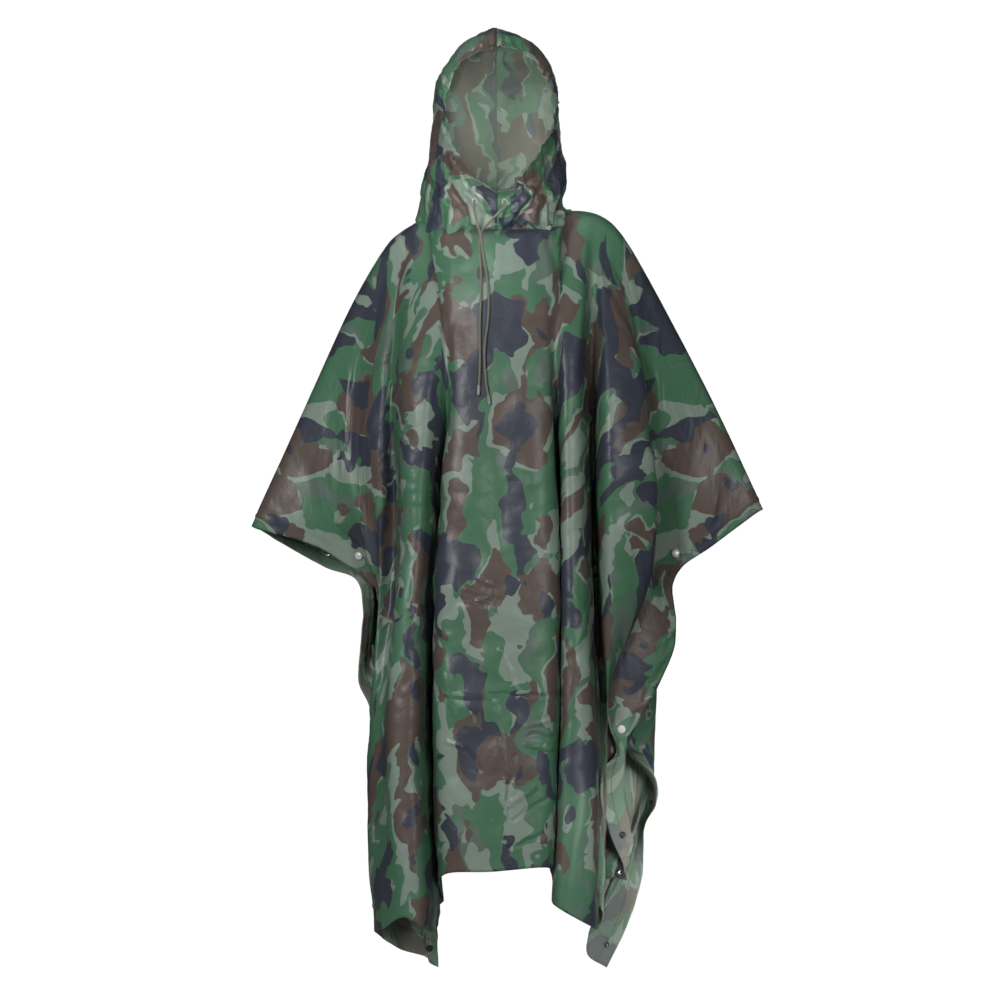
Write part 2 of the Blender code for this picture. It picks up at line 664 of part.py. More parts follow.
def main():
    for old in list(bpy.data.objects):
        bpy.data.objects.remove(old)
    poncho = bpy.data.collections.new("rain poncho")
    bpy.context.scene.collection.children.link(poncho)
    cloth = material("coated cloth", (0.10, 0.15, 0.09), 0.42)
    braid = material("braided nylon", (0.09, 0.09, 0.06), 0.75)
    plastic = material("clear plastic", (0.55, 0.62, 0.55), 0.20)
    steel = material("dark nickel", (0.30, 0.30, 0.29), 0.30, 1.0)
    plate = material("bright nickel", (0.85, 0.85, 0.83), 0.20, 1.0)

    panels = {side: panel_points(side) for side in ("front", "back")}
    hoods = {hand: hood_points(hand, panels) for hand in ("right", "left")}
    trees = {}
    for name, points, turned_wall, reverse in (
        ("front", panels["front"], HEM_WALL, False),
        ("back", panels["back"], HEM_WALL, True),
        ("hood_right", hoods["right"], CASING_WALL, False),
        ("hood_left", hoods["left"], CASING_WALL, True),
    ):
        thing = grid_object(name, points, poncho, cloth, reverse)
        give_wall(thing, turned_wall, turned_rows=(len(points) - 2, len(points) - 1))
        trees[name] = wall_tree(thing)
    for hand in ("right", "left"):
        make_eyelet(hand, hoods[hand], trees["hood_" + hand], poncho, steel)
        make_cord(hand, poncho, braid, plastic)
    for values in SNAPS:
        make_snap(dict(zip(SNAP_COLUMNS, values)), panels, trees, poncho, plate, steel)


main()
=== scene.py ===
"""A hooded rain poncho of coated camouflage nylon, hanging as it does when it is worn.

The wearer's left is +X, the front is -Y and up is +Z. The origin is the middle of the
neck hole. Tables are in millimetres, and left and right are the wearer's own.
"""

import math

import bmesh
import bpy
import numpy as np
from mathutils import Matrix, Vector, noise


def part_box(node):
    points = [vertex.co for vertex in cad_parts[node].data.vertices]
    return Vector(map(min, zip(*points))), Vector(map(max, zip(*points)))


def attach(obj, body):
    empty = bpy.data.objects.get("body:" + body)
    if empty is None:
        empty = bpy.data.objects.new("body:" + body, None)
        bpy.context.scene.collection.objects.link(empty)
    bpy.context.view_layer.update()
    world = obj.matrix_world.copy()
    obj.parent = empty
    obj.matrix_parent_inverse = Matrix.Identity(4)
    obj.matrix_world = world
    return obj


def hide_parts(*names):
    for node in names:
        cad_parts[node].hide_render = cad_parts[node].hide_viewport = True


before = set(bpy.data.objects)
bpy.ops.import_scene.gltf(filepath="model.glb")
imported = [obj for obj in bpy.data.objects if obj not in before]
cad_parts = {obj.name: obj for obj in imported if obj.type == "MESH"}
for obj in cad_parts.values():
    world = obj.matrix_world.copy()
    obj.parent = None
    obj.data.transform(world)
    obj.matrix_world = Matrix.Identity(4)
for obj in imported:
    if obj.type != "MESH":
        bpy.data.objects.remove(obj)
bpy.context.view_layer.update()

# ------------------------------------------------------------------ camera, floor, light
# The poncho is looked at straight from the front, from five metres away, in a white
# studio with large soft lamps.

VIEW_DISTANCE = 5.0
VIEW_WIDTH = 1.66
VIEW_X = 0.005
VIEW_Z = -0.4515
SENSOR_MM = 36
FLOOR_Z = -1.50
FLOOR_HALF = 3.0


def placed(name, data):
    """A new object in the scene, at the origin."""
    made = bpy.data.objects.new(name, data)
    bpy.context.collection.objects.link(made)
    return made


camera = placed("camera", bpy.data.cameras.new("camera"))
camera.location = (VIEW_X, -VIEW_DISTANCE, VIEW_Z)
camera.rotation_euler = (math.radians(90), 0, 0)
camera.data.lens = SENSOR_MM * VIEW_DISTANCE / VIEW_WIDTH
bpy.context.scene.camera = camera


def joined(tree, kind, **values):
    """A node with its inputs set or linked, and its settings."""
    node = tree.nodes.new(kind)
    inputs = values.pop("inputs", {})
    for name, value in values.items():
        setattr(node, name, value)
    for name, value in inputs.items():
        if isinstance(value, bpy.types.NodeSocket):
            tree.links.new(value, node.inputs[name])
        else:
            node.inputs[name].default_value = value
    return node


def principled(name, colour, roughness, metallic=0.0):
    """A plain finish: its material, its tree and its shader."""
    made = bpy.data.materials.new(name)
    made.use_nodes = True
    shader = made.node_tree.nodes["Principled BSDF"]
    shader.inputs["Base Color"].default_value = (*colour, 1)
    shader.inputs["Roughness"].default_value = roughness
    shader.inputs["Metallic"].default_value = metallic
    return made, made.node_tree, shader


def white_when_seen(tree, plain, end):
    """A plain shader that the camera sees as evenly lit white."""
    kind = "ShaderNodeEmission" if end.type == "OUTPUT_MATERIAL" else "ShaderNodeBackground"
    glow = joined(tree, kind, inputs={"Strength": 1.03, "Color": (1, 1, 1, 1)}).outputs[0]
    seen = joined(tree, "ShaderNodeLightPath").outputs["Is Camera Ray"]
    either = joined(tree, "ShaderNodeMixShader", inputs={0: seen, 1: plain.outputs[0], 2: glow})
    tree.links.new(either.outputs[0], end.inputs["Surface"])


def mesh_of(name, shape):
    """The finished mesh of a bmesh."""
    mesh = bpy.data.meshes.new(name)
    shape.to_mesh(mesh)
    shape.free()
    return mesh


floor_shape = bmesh.new()
bmesh.ops.create_grid(floor_shape, x_segments=2, y_segments=2, size=FLOOR_HALF)
bmesh.ops.translate(floor_shape, vec=(0, 0, FLOOR_Z), verts=floor_shape.verts)
floor = placed("studio_floor", mesh_of("studio_floor", floor_shape))
paint, paint_tree, matt = principled("studio paint", (0.30, 0.30, 0.30), 0.9)
white_when_seen(paint_tree, matt, paint_tree.nodes["Material Output"])
floor.data.materials.append(paint)


def soft_lamp(name, place, aim, size, watts, spread=180):
    """A rectangular lamp at a place, turned to its aim."""
    lamp = bpy.data.lights.new(name, "AREA")
    lamp.shape = "RECTANGLE"
    lamp.size, lamp.size_y = size
    lamp.energy = watts
    lamp.spread = math.radians(spread)
    stand = placed(name, lamp)
    stand.location = place
    stand.rotation_euler = (Vector(aim) - Vector(place)).to_track_quat("-Z", "Y").to_euler()


soft_lamp("lamp_key", (-1.7, -3.6, 0.6), (0, 0, -0.36), (0.7, 1.2), 70)
soft_lamp("lamp_fill", (1.9, -3.9, 0.1), (0, 0, -0.40), (0.7, 1.4), 37)
soft_lamp("lamp_hood", (-0.1, -2.4, -0.10), (0, 0, 0.20), (0.2, 0.2), 0.40, spread=17)
soft_lamp("lamp_low", (1.0, -2.2, -0.80), (0.29, 0, -1.04), (0.2, 0.2), 0.26, spread=11)
soft_lamp("lamp_top", (-0.3, -1.0, 2.4), (0, 0, 0.0), (1.2, 1.2), 10)
soft_lamp("lamp_back", (0, 3.6, -0.2), (0, 0, -0.4), (1.6, 1.6), 38)
world = bpy.data.worlds.new("studio")
world.use_nodes = True
sky = world.node_tree.nodes["Background"]
sky.inputs["Color"].default_value = (1, 1, 1, 1)
sky.inputs["Strength"].default_value = 0.04
white_when_seen(world.node_tree, sky, world.node_tree.nodes["World Output"])
bpy.context.scene.world = world
bpy.context.scene.view_settings.view_transform = "Standard"

# ------------------------------------------------------------------ drawcord
# The hood's drawcord is braided polyester, 4 mm thick. It comes out of two eyelets
# below the face, and its free ends cross once and hang down the chest.

MM = 0.001


def through(points, steps):
    """A smooth curve through the points, with this many steps from each to the next."""
    points = np.asarray(points, float)
    padded = np.vstack([2 * points[0] - points[1], points, 2 * points[-1] - points[-2]])
    spans = np.linalg.norm(np.diff(padded, axis=0), axis=1)
    knots = np.concatenate([[0.0], np.cumsum(np.sqrt(np.maximum(spans, 1e-9)))])
    curve = []
    for i in range(len(points) - 1):
        p = padded[i : i + 4]
        k = knots[i : i + 4]
        t = (k[1] + (k[2] - k[1]) * np.arange(steps) / steps)[:, None]
        a = [((k[j + 1] - t) * p[j] + (t - k[j]) * p[j + 1]) / (k[j + 1] - k[j]) for j in range(3)]
        b = [((k[j + 2] - t) * a[j] + (t - k[j]) * a[j + 1]) / (k[j + 2] - k[j]) for j in range(2)]
        curve.append(((k[2] - t) * b[0] + (t - k[1]) * b[1]) / (k[2] - k[1]))
    return np.vstack(curve + [points[-1:]])


def run_of(line):
    """How far each point of a line is from its first, along the line."""
    return np.concatenate([[0.0], np.cumsum(np.linalg.norm(np.diff(line, axis=0), axis=1))])


def points_along(line, run, where):
    """The points of a line where its run, given for each of its points, has these values."""
    return np.stack([np.interp(where, run, line[:, k]) for k in range(3)], axis=-1)


def sums(tree, operation, a, b=None):
    """The outcome of one sum on two values."""
    inputs = {0: a} if b is None else {0: a, 1: b}
    return joined(tree, "ShaderNodeMath", operation=operation, inputs=inputs).outputs[0]


def share_between(tree, value, low, high):
    """A share that grows from 0 to 1 as a value goes from low to high."""
    return joined(tree, "ShaderNodeMapRange", inputs={0: value, 1: low, 2: high}).outputs[0]


def blended(tree, share, below, above):
    """Two colours mixed by a share."""
    mix = joined(tree, "ShaderNodeMix", data_type="RGBA", inputs={0: share, 6: below, 7: above})
    return mix.outputs[2]


# The braid's olive, painted darker in the grooves as painted shade, and a paler colour painted on the
# strands' crowns as painted highlight.
OLIVE_GROOVE_SHADE = (0.080, 0.078, 0.055, 1)
CROWN_HIGHLIGHT = (0.330, 0.320, 0.240, 1)


def braid_material():
    """Strands that cross each other on the slant: olive, with painted highlight on their raised crowns and
    painted shade in the grooves between them.
    """
    made, tree, shader = principled("olive braid", (0.10, 0.10, 0.065), 0.7)
    place = joined(tree, "ShaderNodeTexCoord")
    parts = joined(tree, "ShaderNodeSeparateXYZ", inputs={0: place.outputs["UV"]})
    along = sums(tree, "MULTIPLY", parts.outputs["X"], 110.0)
    around = sums(tree, "MULTIPLY", parts.outputs["Y"], 4.0)
    strands = []
    for way in ("ADD", "SUBTRACT"):
        slant = sums(tree, way, along, around)
        strands.append(sums(tree, "SINE", sums(tree, "MULTIPLY", slant, 2 * math.pi)))
    over = sums(tree, "MAXIMUM", *strands)
    bump = joined(tree, "ShaderNodeBump", inputs={"Height": over, "Strength": 0.6, "Distance": 0.0004})
    tree.links.new(bump.outputs[0], shader.inputs["Normal"])
    # The colour follows the strands' height: paler on the crowns (painted highlight), darker in the grooves
    # (painted shade).
    crown_highlight_and_groove_shade = blended(tree, share_between(tree, over, -0.2, 1.0), OLIVE_GROOVE_SHADE, CROWN_HIGHLIGHT)
    tree.links.new(crown_highlight_and_groove_shade, shader.inputs["Base Color"])
    return made


CORD_DIAMETER = 0.0040
CORD_POINTS = 40
CORDS = {
    "right": [
        (-35.9, -110.4, 34.8), (-36.8, -114.0, 33.7), (-37.6, -117.8, 30.2), (-37.5, -119.6, 24.2),
        (-35.9, -119.5, 13.0), (-32.2, -119.8, -3.0), (-28.2, -120.6, -18.5), (-29.0, -126.0, -36.7),
        (-27.0, -136.2, -60.0), (-25.2, -140.6, -83.3), (-25.6, -148.4, -122.6), (-27.3, -154.8, -161.7),
        (-27.4, -159.0, -194.1), (-27.2, -163.0, -226.5), (-27.9, -166.4, -252.0), (-28.9, -167.8, -268.0),
    ],
    "left": [
        (12.4, -114.4, 33.0), (12.5, -118.0, 31.9), (12.0, -121.6, 28.3), (10.2, -123.4, 22.6),
        (3.4, -124.0, 14.5), (-12.9, -125.2, -2.5), (-25.6, -126.2, -18.0), (-24.2, -130.2, -36.0),
        (-19.6, -138.0, -66.0), (-15.0, -144.2, -96.5), (-12.9, -149.2, -122.6), (-14.4, -155.3, -161.7),
        (-18.6, -159.8, -194.1), (-20.0, -163.0, -218.4), (-19.1, -166.0, -245.9), (-16.4, -168.2, -270.0),
        (-14.2, -169.0, -283.0),
    ],
}
braid = braid_material()
for hand, route in CORDS.items():
    smooth = through(np.array(route) * MM, 12)
    run = run_of(smooth)
    points = points_along(smooth, run, np.linspace(0, run[-1], CORD_POINTS))
    line = bpy.data.curves.new(f"cord_{hand}", "CURVE")
    line.dimensions = "3D"
    line.bevel_depth = CORD_DIAMETER / 2
    line.bevel_resolution = 5
    line.use_fill_caps = True
    spline = line.splines.new("POLY")
    spline.points.add(len(points) - 1)
    for point, place in zip(spline.points, points):
        point.co = (*place, 1)
    line.materials.append(braid)
    cord = placed(f"cord_{hand}", line)
    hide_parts(f"drawcord_{hand}")
    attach(cord, "root")

# ------------------------------------------------------------------ front of the sheet
# The poncho's body is one oblong of polyurethane-coated nylon, printed with woodland
# camouflage and folded over the shoulders. Its front half hangs in deep folds, with a
# hem turned up twice and stitched, and its inner side shows the print's pale back.

CLOTH_WIDTH = 1.440
HALF_LENGTH = 1.120
WALL = 0.0010
HEM_DEPTH = 0.045
SIDE_HEM_DEPTH = 0.022
HEM_STEP = 0.0009
STITCH_INSET = 0.002
STITCH_GROOVE = 0.0016
SEAM_STRIP = 0.003
NECK_HALF_WIDTH = 0.118
NECK_FRONT = 0.095
NECK_BACK = 0.080
THROAT_RISE = -0.012
NAPE_RISE = 0.026
SHOULDER_ROLL = 0.046
SLEEVE_FLATNESS = 0.72
# How far round each of these the cloth lies flat.
SNAP_FLAT = 0.016
EYELET_FLAT = 0.010
CORD_FLAT = 0.010

# s is the way along the cloth from its middle, out over the shoulder and down the arm.
SHOULDER_COLUMNS = ("s", "x", "z")
SHOULDER = {
    "right": [
        (118, -118, 14),
        (138, -137, 8),
        (186, -175, -20),
        (226, -199, -53),
        (302, -237, -119),
        (720, -408, -495),
    ],
    "left": [
        (118, 118, 27),
        (162, 162, 24),
        (190, 187, 10),
        (227, 212, -17),
        (344, 270, -119),
        (459, 325, -219),
        (720, 442, -467),
    ],
}

# A row for each fold line, from the wearer's right hand to the left. s is where it
# starts on the shoulder line or at the neck hole, hem_z is how low its hem is, and lift
# is how far the sleeve's underside is gathered up at the chest.
STATIONS = {"chest": 0.20, "waist": 0.45, "knee": 0.72, "hem": 1.0}
FOLD_COLUMNS = ("s", "chest_x", "chest_reach", "waist_x", "waist_reach")
FOLD_COLUMNS += ("knee_x", "knee_reach", "hem_x", "hem_reach", "hem_z", "lift")
FRONT_FOLDS = [
    (-640, -222, 40, -176, 26, -176, 14, -116, -4, -1212, 56),  # sleeve
    (-520, -228, 58, -184, 34, -188, 25, -160, 15, -1195, 12),
    (-320, -220, 76, -190, 64, -212, 62, -196, 50, -1165, 0),  # under the arm
    (-255, -188, 98, -191, 74, -206, 98, -199, 95, -1152, 0),  # outer tube
    (-215, -172, 88, -168, 62, -188, 114, -188, 138, -1146, 0),  # its trough
    (-185, -150, 140, -150, 150, -170, 164, -148, 176, -1120, 0),  # great tube
    (-150, -112, 150, -122, 156, -134, 168, -118, 174, -1138, 0),
    (-118, -92, 146, -102, 112, -114, 112, -98, 116, -1148, 0),
    (-100, -82, 142, -90, 70, -102, 54, -90, 58, -1110, 0),  # deep trough
    (-70, -68, 152, -84, 160, -96, 168, -86, 165, -1053, 0),  # flat front
    (0, 5, 158, 3, 170, -2, 178, -10, 186, -1046, 0),
    (68, 82, 150, 90, 162, 92, 170, 86, 176, -1041, 0),
    (98, 94, 136, 100, 72, 100, 56, 92, 50, -1080, 0),  # deep trough
    (118, 106, 144, 110, 154, 108, 163, 98, 176, -1104, 0),  # middle tube
    (160, 134, 140, 136, 148, 152, 156, 152, 161, -1136, 0),
    (190, 156, 84, 160, 56, 169, 58, 168, 46, -1150, 0),  # deep trough
    (215, 176, 128, 180, 132, 180, 84, 174, 62, -1130, 0),  # arm tube
    (260, 232, 108, 252, 104, 172, 66, 162, 60, -1110, 0),
    (330, 242, 84, 258, 80, 164, 54, 160, 44, -1095, 0),  # under the arm
    (530, 262, 62, 208, 60, 152, 38, 166, 28, -1085, 0),  # sleeve
]
BACK_FOLDS = [
    (-520, -228, 60, -216, 75, -208, 85, -192, 100, -1150, 0),  # sleeve
    (-320, -216, 90, -208, 100, -202, 110, -188, 120, -1145, 0),  # under the arm
    (-240, -190, 100, -180, 85, -172, 75, -165, 70, -1135, 0),  # trough
    (-200, -165, 135, -160, 150, -152, 160, -148, 165, -1120, 0),  # tube
    (-150, -110, 140, -115, 155, -118, 165, -120, 172, -1100, 0),
    (-118, -88, 125, -92, 80, -95, 60, -98, 50, -1080, 0),  # trough
    (-75, -75, 150, -80, 162, -82, 170, -84, 178, -1062, 0),  # flat back
    (0, 0, 156, 0, 170, 2, 178, 4, 186, -1060, 0),
    (75, 72, 150, 75, 163, 76, 171, 78, 178, -1062, 0),
    (118, 84, 122, 88, 78, 90, 60, 92, 50, -1080, 0),  # trough
    (145, 98, 140, 104, 156, 106, 166, 108, 174, -1105, 0),  # tube
    (200, 158, 134, 160, 150, 160, 158, 158, 164, -1128, 0),
    (240, 182, 98, 188, 74, 188, 62, 182, 58, -1140, 0),  # trough
    (320, 222, 92, 225, 98, 215, 100, 195, 100, -1165, 0),  # under the arm
    (520, 255, 62, 264, 75, 248, 96, 190, 80, -1150, 0),  # sleeve
    (620, 280, 45, 268, 55, 254, 80, 162, 44, -1155, 22),
]

# The four side edges, each with the line that runs BORDER in from it, past the snaps.
# down is the share of the way to the hem's corner.
BORDER = 0.040
EDGE_COLUMNS = ("down", "x", "reach", "z", "in_x", "in_reach", "in_z")
EDGES = {
    "front_right": [
        (0.10, -305, 22, -526, -300, 28, -494),
        (0.17, -238, 12, -567, -226, 18, -535),
        (0.22, -212, 18, -590, -198, 30, -562),
        (0.27, -190, 25, -612, -170, 46, -594),
        (0.34, -184, 26, -690, -156, 40, -686),
        (0.45, -212, 2, -796, -176, 3, -794),
        (0.60, -186, 18, -890, -156, 32, -886),
        (0.72, -168, 10, -985, -140, 24, -980),
        (0.92, -104, -4, -1150, -120, 10, -1140),
        (1.00, -98, -10, -1228, -112, -6, -1220),
    ],
    "front_left": [
        (0.10, 356, 14, -528, 346, 20, -496),
        (0.17, 306, 2, -564, 292, 3, -529),
        (0.20, 290, 22, -590, 270, 34, -572),
        (0.30, 294, 40, -690, 266, 52, -684),
        (0.45, 222, 58, -836, 186, 62, -812),
        (0.50, 210, 60, -864, 188, 63, -834),
        (0.56, 178, 70, -886, 207, 60, -868),
        (0.66, 168, 72, -935, 206, 60, -924),
        (0.73, 186, 68, -1003, 218, 58, -994),
        (0.85, 206, 60, -1050, 222, 48, -1018),
        (1.00, 214, 42, -1078, 190, 52, -1072),
    ],
    "back_right": [
        (0.10, -345, 66, -535, -341, 74, -498),
        (0.17, -290, 88, -566, -282, 98, -531),
        (0.24, -236, 52, -586, -229, 64, -553),
        (0.29, -224, 32, -632, -206, 50, -620),
        (0.37, -232, 30, -752, -212, 52, -742),
        (0.45, -212, 3, -796, -176, 4, -794),
        (0.60, -209, 26, -885, -184, 44, -882),
        (0.72, -209, 35, -960, -186, 56, -958),
        (0.85, -204, 45, -1060, -184, 66, -1056),
        (1.00, -172, 60, -1160, -185, 86, -1158),
    ],
    "back_left": [
        (0.10, 356, 14, -528, 346, 20, -496),
        (0.17, 306, 3, -564, 292, 4, -529),
        (0.20, 288, 10, -592, 268, 22, -570),
        (0.30, 295, 30, -690, 268, 42, -684),
        (0.45, 222, -50, -836, 188, -50, -814),
        (0.51, 227, -45, -862, 197, -42, -848),
        (0.57, 246, 8, -880, 218, 20, -874),
        (0.66, 267, 26, -925, 258, 60, -922),
        (0.73, 266, 34, -961, 256, 68, -957),
        (0.79, 246, 44, -1004, 236, 76, -998),
        (0.88, 240, 30, -1085, 213, 44, -1080),
        (0.94, 219, 16, -1155, 186, 26, -1146),
        (1.00, 182, 0, -1228, 150, 4, -1206),
    ],
}


def table(columns, rows):
    """The rows as dictionaries, with lengths in metres and shares as they are."""
    shares = ("down", "widest", "peak", "neck")
    return [{name: v if name in shares else v * MM for name, v in zip(columns, row)} for row in rows]


def shoulder(s):
    """The point of the shoulder line at s from the middle of the cloth."""
    rows = table(SHOULDER_COLUMNS, SHOULDER["right" if s < 0 else "left"])
    along = [row["s"] for row in rows]
    x = np.interp(abs(s), along, [row["x"] for row in rows])
    z = np.interp(abs(s), along, [row["z"] for row in rows])
    return np.array([x, 0.0, z])


def shoulder_fall(s):
    """The way that the cloth falls from the shoulder line at s, square to the line."""
    step = 0.03
    inner = shoulder(s - math.copysign(step, s))
    outer = shoulder(s + math.copysign(step, s))
    along = (outer - inner) / np.linalg.norm(outer - inner)
    fall = np.array([-along[2], 0.0, along[0]])
    return -fall if fall[2] > 0 else fall


def neckline(x, front):
    """The point of the neck hole's edge at x, on the throat's side or the nape's."""
    across = math.sqrt(max(0.0, 1 - (x / NECK_HALF_WIDTH) ** 2))
    middle = THROAT_RISE if front else NAPE_RISE
    y = -NECK_FRONT * across if front else NECK_BACK * across
    rises = [shoulder(-NECK_HALF_WIDTH)[2], shoulder(NECK_HALF_WIDTH)[2]]
    side_rise = np.interp(x, [-NECK_HALF_WIDTH, NECK_HALF_WIDTH], rises)
    return np.array([x, y, side_rise + (middle - side_rise) * across])


def rolled_start(s, facing):
    """The first points of a line down the cloth, each x, y, z and its share of the way."""
    if abs(s) < NECK_HALF_WIDTH:
        top = neckline(s, facing < 0)
        below = top + np.array([top[0] * 0.06, facing * 0.026, -0.016])
        return [(*top, 0.0), (*below, 0.028)]
    top = shoulder(s)
    fall = shoulder_fall(s)
    out = np.array([0.0, facing, 0.0])
    beyond = (abs(s) - NECK_HALF_WIDTH) / (CLOTH_WIDTH / 2 - NECK_HALF_WIDTH)
    roll = SHOULDER_ROLL * (1 - SLEEVE_FLATNESS * beyond)
    return [
        (*top, 0.0),
        (*(top + out * SEAM_STRIP), SEAM_STRIP / HALF_LENGTH),
        (*(top + out * 0.62 * roll + fall * 0.16 * roll), 0.65 * roll / HALF_LENGTH),
        (*(top + out * 1.05 * roll + fall * 0.80 * roll), 1.40 * roll / HALF_LENGTH),
    ]


def fold_line(row, facing):
    """The curve of one fold line, from the shoulder or neck to the hem."""
    points = rolled_start(row["s"], facing)
    top = points[0][2]
    for name, share in STATIONS.items():
        z = top + share * (row["hem_z"] - top) + (row["lift"] if name == "chest" else 0)
        points.append((row[name + "_x"], facing * row[name + "_reach"], z, share))
    return through(points, 24)


def edge_line(side, hand, inner=""):
    """The curve of one side edge from the sleeve's tip to the corner, or of its inner line."""
    facing = -1 if side == "front" else 1
    s = CLOTH_WIDTH / 2 - (BORDER if inner else 0)
    points = rolled_start(-s if hand == "right" else s, facing)
    for row in table(EDGE_COLUMNS, EDGES[f"{side}_{hand}"]):
        points.append((row[inner + "x"], facing * row[inner + "reach"], row[inner + "z"], row["down"]))
    return through(points, 24)


def grid_runs(points):
    """How far each point of a grid lies along its row from the middle, and down its column."""
    across = np.cumsum(np.linalg.norm(np.diff(points, axis=1, prepend=points[:, :1]), axis=2), axis=1)
    across -= across[:, points.shape[1] // 2 : points.shape[1] // 2 + 1]
    down = np.cumsum(np.linalg.norm(np.diff(points, axis=0, prepend=points[:1]), axis=2), axis=0)
    return across, down


def grid_normals(points, facing):
    """The normal at each point of a grid, towards the side that it faces."""
    along = np.gradient(points, axis=1)
    down = np.gradient(points, axis=0)
    normal = np.cross(along, down) * -facing
    return normal / np.maximum(np.linalg.norm(normal, axis=2, keepdims=True), 1e-9)


def away_from(points, line):
    """How far each point is from a line in the x, z plane, which side, and its share along it."""
    flat = points[..., [0, 2]].reshape(-1, 2)
    starts, ends = line[:-1], line[1:]
    step = ends - starts
    length = np.maximum((step**2).sum(axis=1), 1e-12)
    offset = flat[:, None] - starts
    share = np.clip((offset * step).sum(axis=2) / length, 0, 1)
    gap = offset - share[..., None] * step
    distance = np.linalg.norm(gap, axis=2)
    nearest = distance.argmin(axis=1)
    pick = np.arange(len(flat))
    side = np.sign(step[nearest, 0] * gap[pick, nearest, 1] - step[nearest, 1] * gap[pick, nearest, 0])
    along = (nearest + share[pick, nearest]) / len(step)
    shape = points.shape[:2]
    return distance[pick, nearest].reshape(shape), side.reshape(shape), along.reshape(shape)


def creased(points, normals, facing, creases):
    """How far each point is pressed in or out: a crease is a ridge with a shallow trough beside it."""
    rise = np.zeros(points.shape[:2])
    faces = np.clip(normals[..., 1] * facing * 2 - 0.2, 0, 1)
    for width, height, line in creases:
        smooth = through(np.array(line) * MM, 8)
        distance, side, along = away_from(points, smooth)
        reach = np.maximum(distance, 0) * np.where(side > 0, 1.0, 0.62) / (width * MM)
        ends = np.clip(np.sin(math.pi * np.clip(along, 0.02, 0.98)) * 2.2, 0, 1)
        rise += height * MM * ends * faces * (np.exp(-(reach**2)) - 0.35 * np.exp(-((reach - 2.2) ** 2)))
    return rise


def ripples(across, down, seed):
    """Small unevenness of thin cloth: long soft waves down it, and finer ones over them."""
    rise = np.zeros(across.shape)
    waves = ((0.0042, 9.0, 2.4), (0.0022, 21.0, 8.0), (0.0009, 52.0, 26.0), (0.0004, 120.0, 80.0))
    for index in np.ndindex(across.shape):
        u, v = across[index], down[index]
        for k, (height, over, along) in enumerate(waves):
            rise[index] += height * noise.noise(Vector((u * over, v * along, seed + 7.3 * k)))
        worn = 1 + 2.2 * math.exp(-((u / 0.11) ** 2) - ((v - 0.66) / 0.20) ** 2)
        rise[index] += worn * crumpled((u, v * 0.7), seed, ((0.0045, 8.0), (0.0026, 19.0), (0.0012, 44.0)))
    return rise


def neck_gathers(across, down, seed):
    """Short folds that fan out below the neck seam, where the hood's fullness pulls on the cloth."""
    rise = np.zeros(across.shape)
    for index in np.ndindex(across.shape):
        u, v = across[index], down[index]
        if abs(u) < NECK_HALF_WIDTH * 1.6 and v < 0.25:
            fan = u / (1 + 1.6 * v)
            fold = crumpled((fan, v * 0.22), seed + 50, ((0.020, 30.0), (0.010, 70.0)))
            rise[index] = math.exp(-v / 0.060) * fold * min(1.0, v / 0.010)
    return rise


def crumpled(place, seed, sizes):
    """Sharp-ridged dents, as stiff coated cloth keeps them: folded noise, a height and a scale each."""
    return sum(
        height * (0.22 - abs(noise.noise(Vector((place[0] * scale, place[1] * scale, seed + scale)))))
        for height, scale in sizes
    )


def quiet_near(points, spots, radius):
    """A share that falls to 0 within a radius of each spot, where the cloth is held flat."""
    share = np.ones(points.shape[:2])
    for spot in spots:
        distance = np.linalg.norm(points - np.array(spot), axis=2)
        share *= np.clip((distance - 0.35 * radius) / radius, 0, 1) ** 2 * 0.999 + 0.001
    return share


SHEET_ROWS = 230
SHEET_STEPS = 8
SLEEVE_BEGINS = 0.270
UNDERARM = -0.600
PRINT_SLANT = math.radians(22)


def panel_points(side):
    """The points of the front or back half, as rows from the shoulder to the hem."""
    facing = -1 if side == "front" else 1
    folds = table(FOLD_COLUMNS, FRONT_FOLDS if side == "front" else BACK_FOLDS)
    lines = [edge_line(side, "right"), edge_line(side, "right", "in_")]
    lines += [fold_line(row, facing) for row in folds]
    lines += [edge_line(side, "left", "in_"), edge_line(side, "left")]
    shares = np.linspace(0, 1, SHEET_ROWS + 1) ** 1.15
    net = np.array([points_along(line, line[:, 3], shares) for line in lines])
    points = np.array([through(row, SHEET_STEPS) for row in net.transpose(1, 0, 2)])
    least = np.minimum(shares / 0.02, 1) * SEAM_STRIP
    top = shares < 0.03
    points[top, :, 1] = facing * np.maximum(facing * points[top, :, 1], least[top, None])
    return points


def on_sleeve(side, points):
    """How much each point belongs to a sleeve, and its place there, with the arm lengthwise.

    The cloth's length runs across the arm, so the print lies on its side on the sleeves.
    """
    folds = FRONT_FOLDS if side == "front" else BACK_FOLDS
    edge = CLOTH_WIDTH / 2 / MM
    lines = [-edge, -edge + BORDER / MM, *(row[0] for row in folds), edge - BORDER / MM, edge]
    s = np.interp(np.arange(points.shape[1]) / SHEET_STEPS, np.arange(len(lines)), lines) * MM
    beyond = np.clip((np.abs(s) - SLEEVE_BEGINS) / 0.05, 0, 1)
    above = np.clip((points[..., 2] - UNDERARM) / 0.06, 0, 1)
    out, up = points[..., 0] * np.sign(s), points[..., 2].copy()
    if side == "back":
        # The print runs on over the shoulder, so it is mirrored about the fold there.
        for half in (s < 0, s >= 0):
            fold = half & (np.abs(s) > SLEEVE_BEGINS)
            slope, level = np.polyfit(out[0, fold], up[0, fold], 1)
            past_fold = (up[:, half] - slope * out[:, half] - level) / (1 + slope**2)
            out[:, half] += 2 * slope * past_fold
            up[:, half] -= 2 * past_fold
    cos, sin = math.cos(PRINT_SLANT), math.sin(PRINT_SLANT)
    return beyond * above, up * cos - out * sin, out * cos + up * sin


def snap_spots():
    """Where the snaps' pieces are, so that the cloth stays flat under them."""
    return [sum(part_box(name), Vector()) / 2 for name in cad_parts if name.startswith("snap_")]


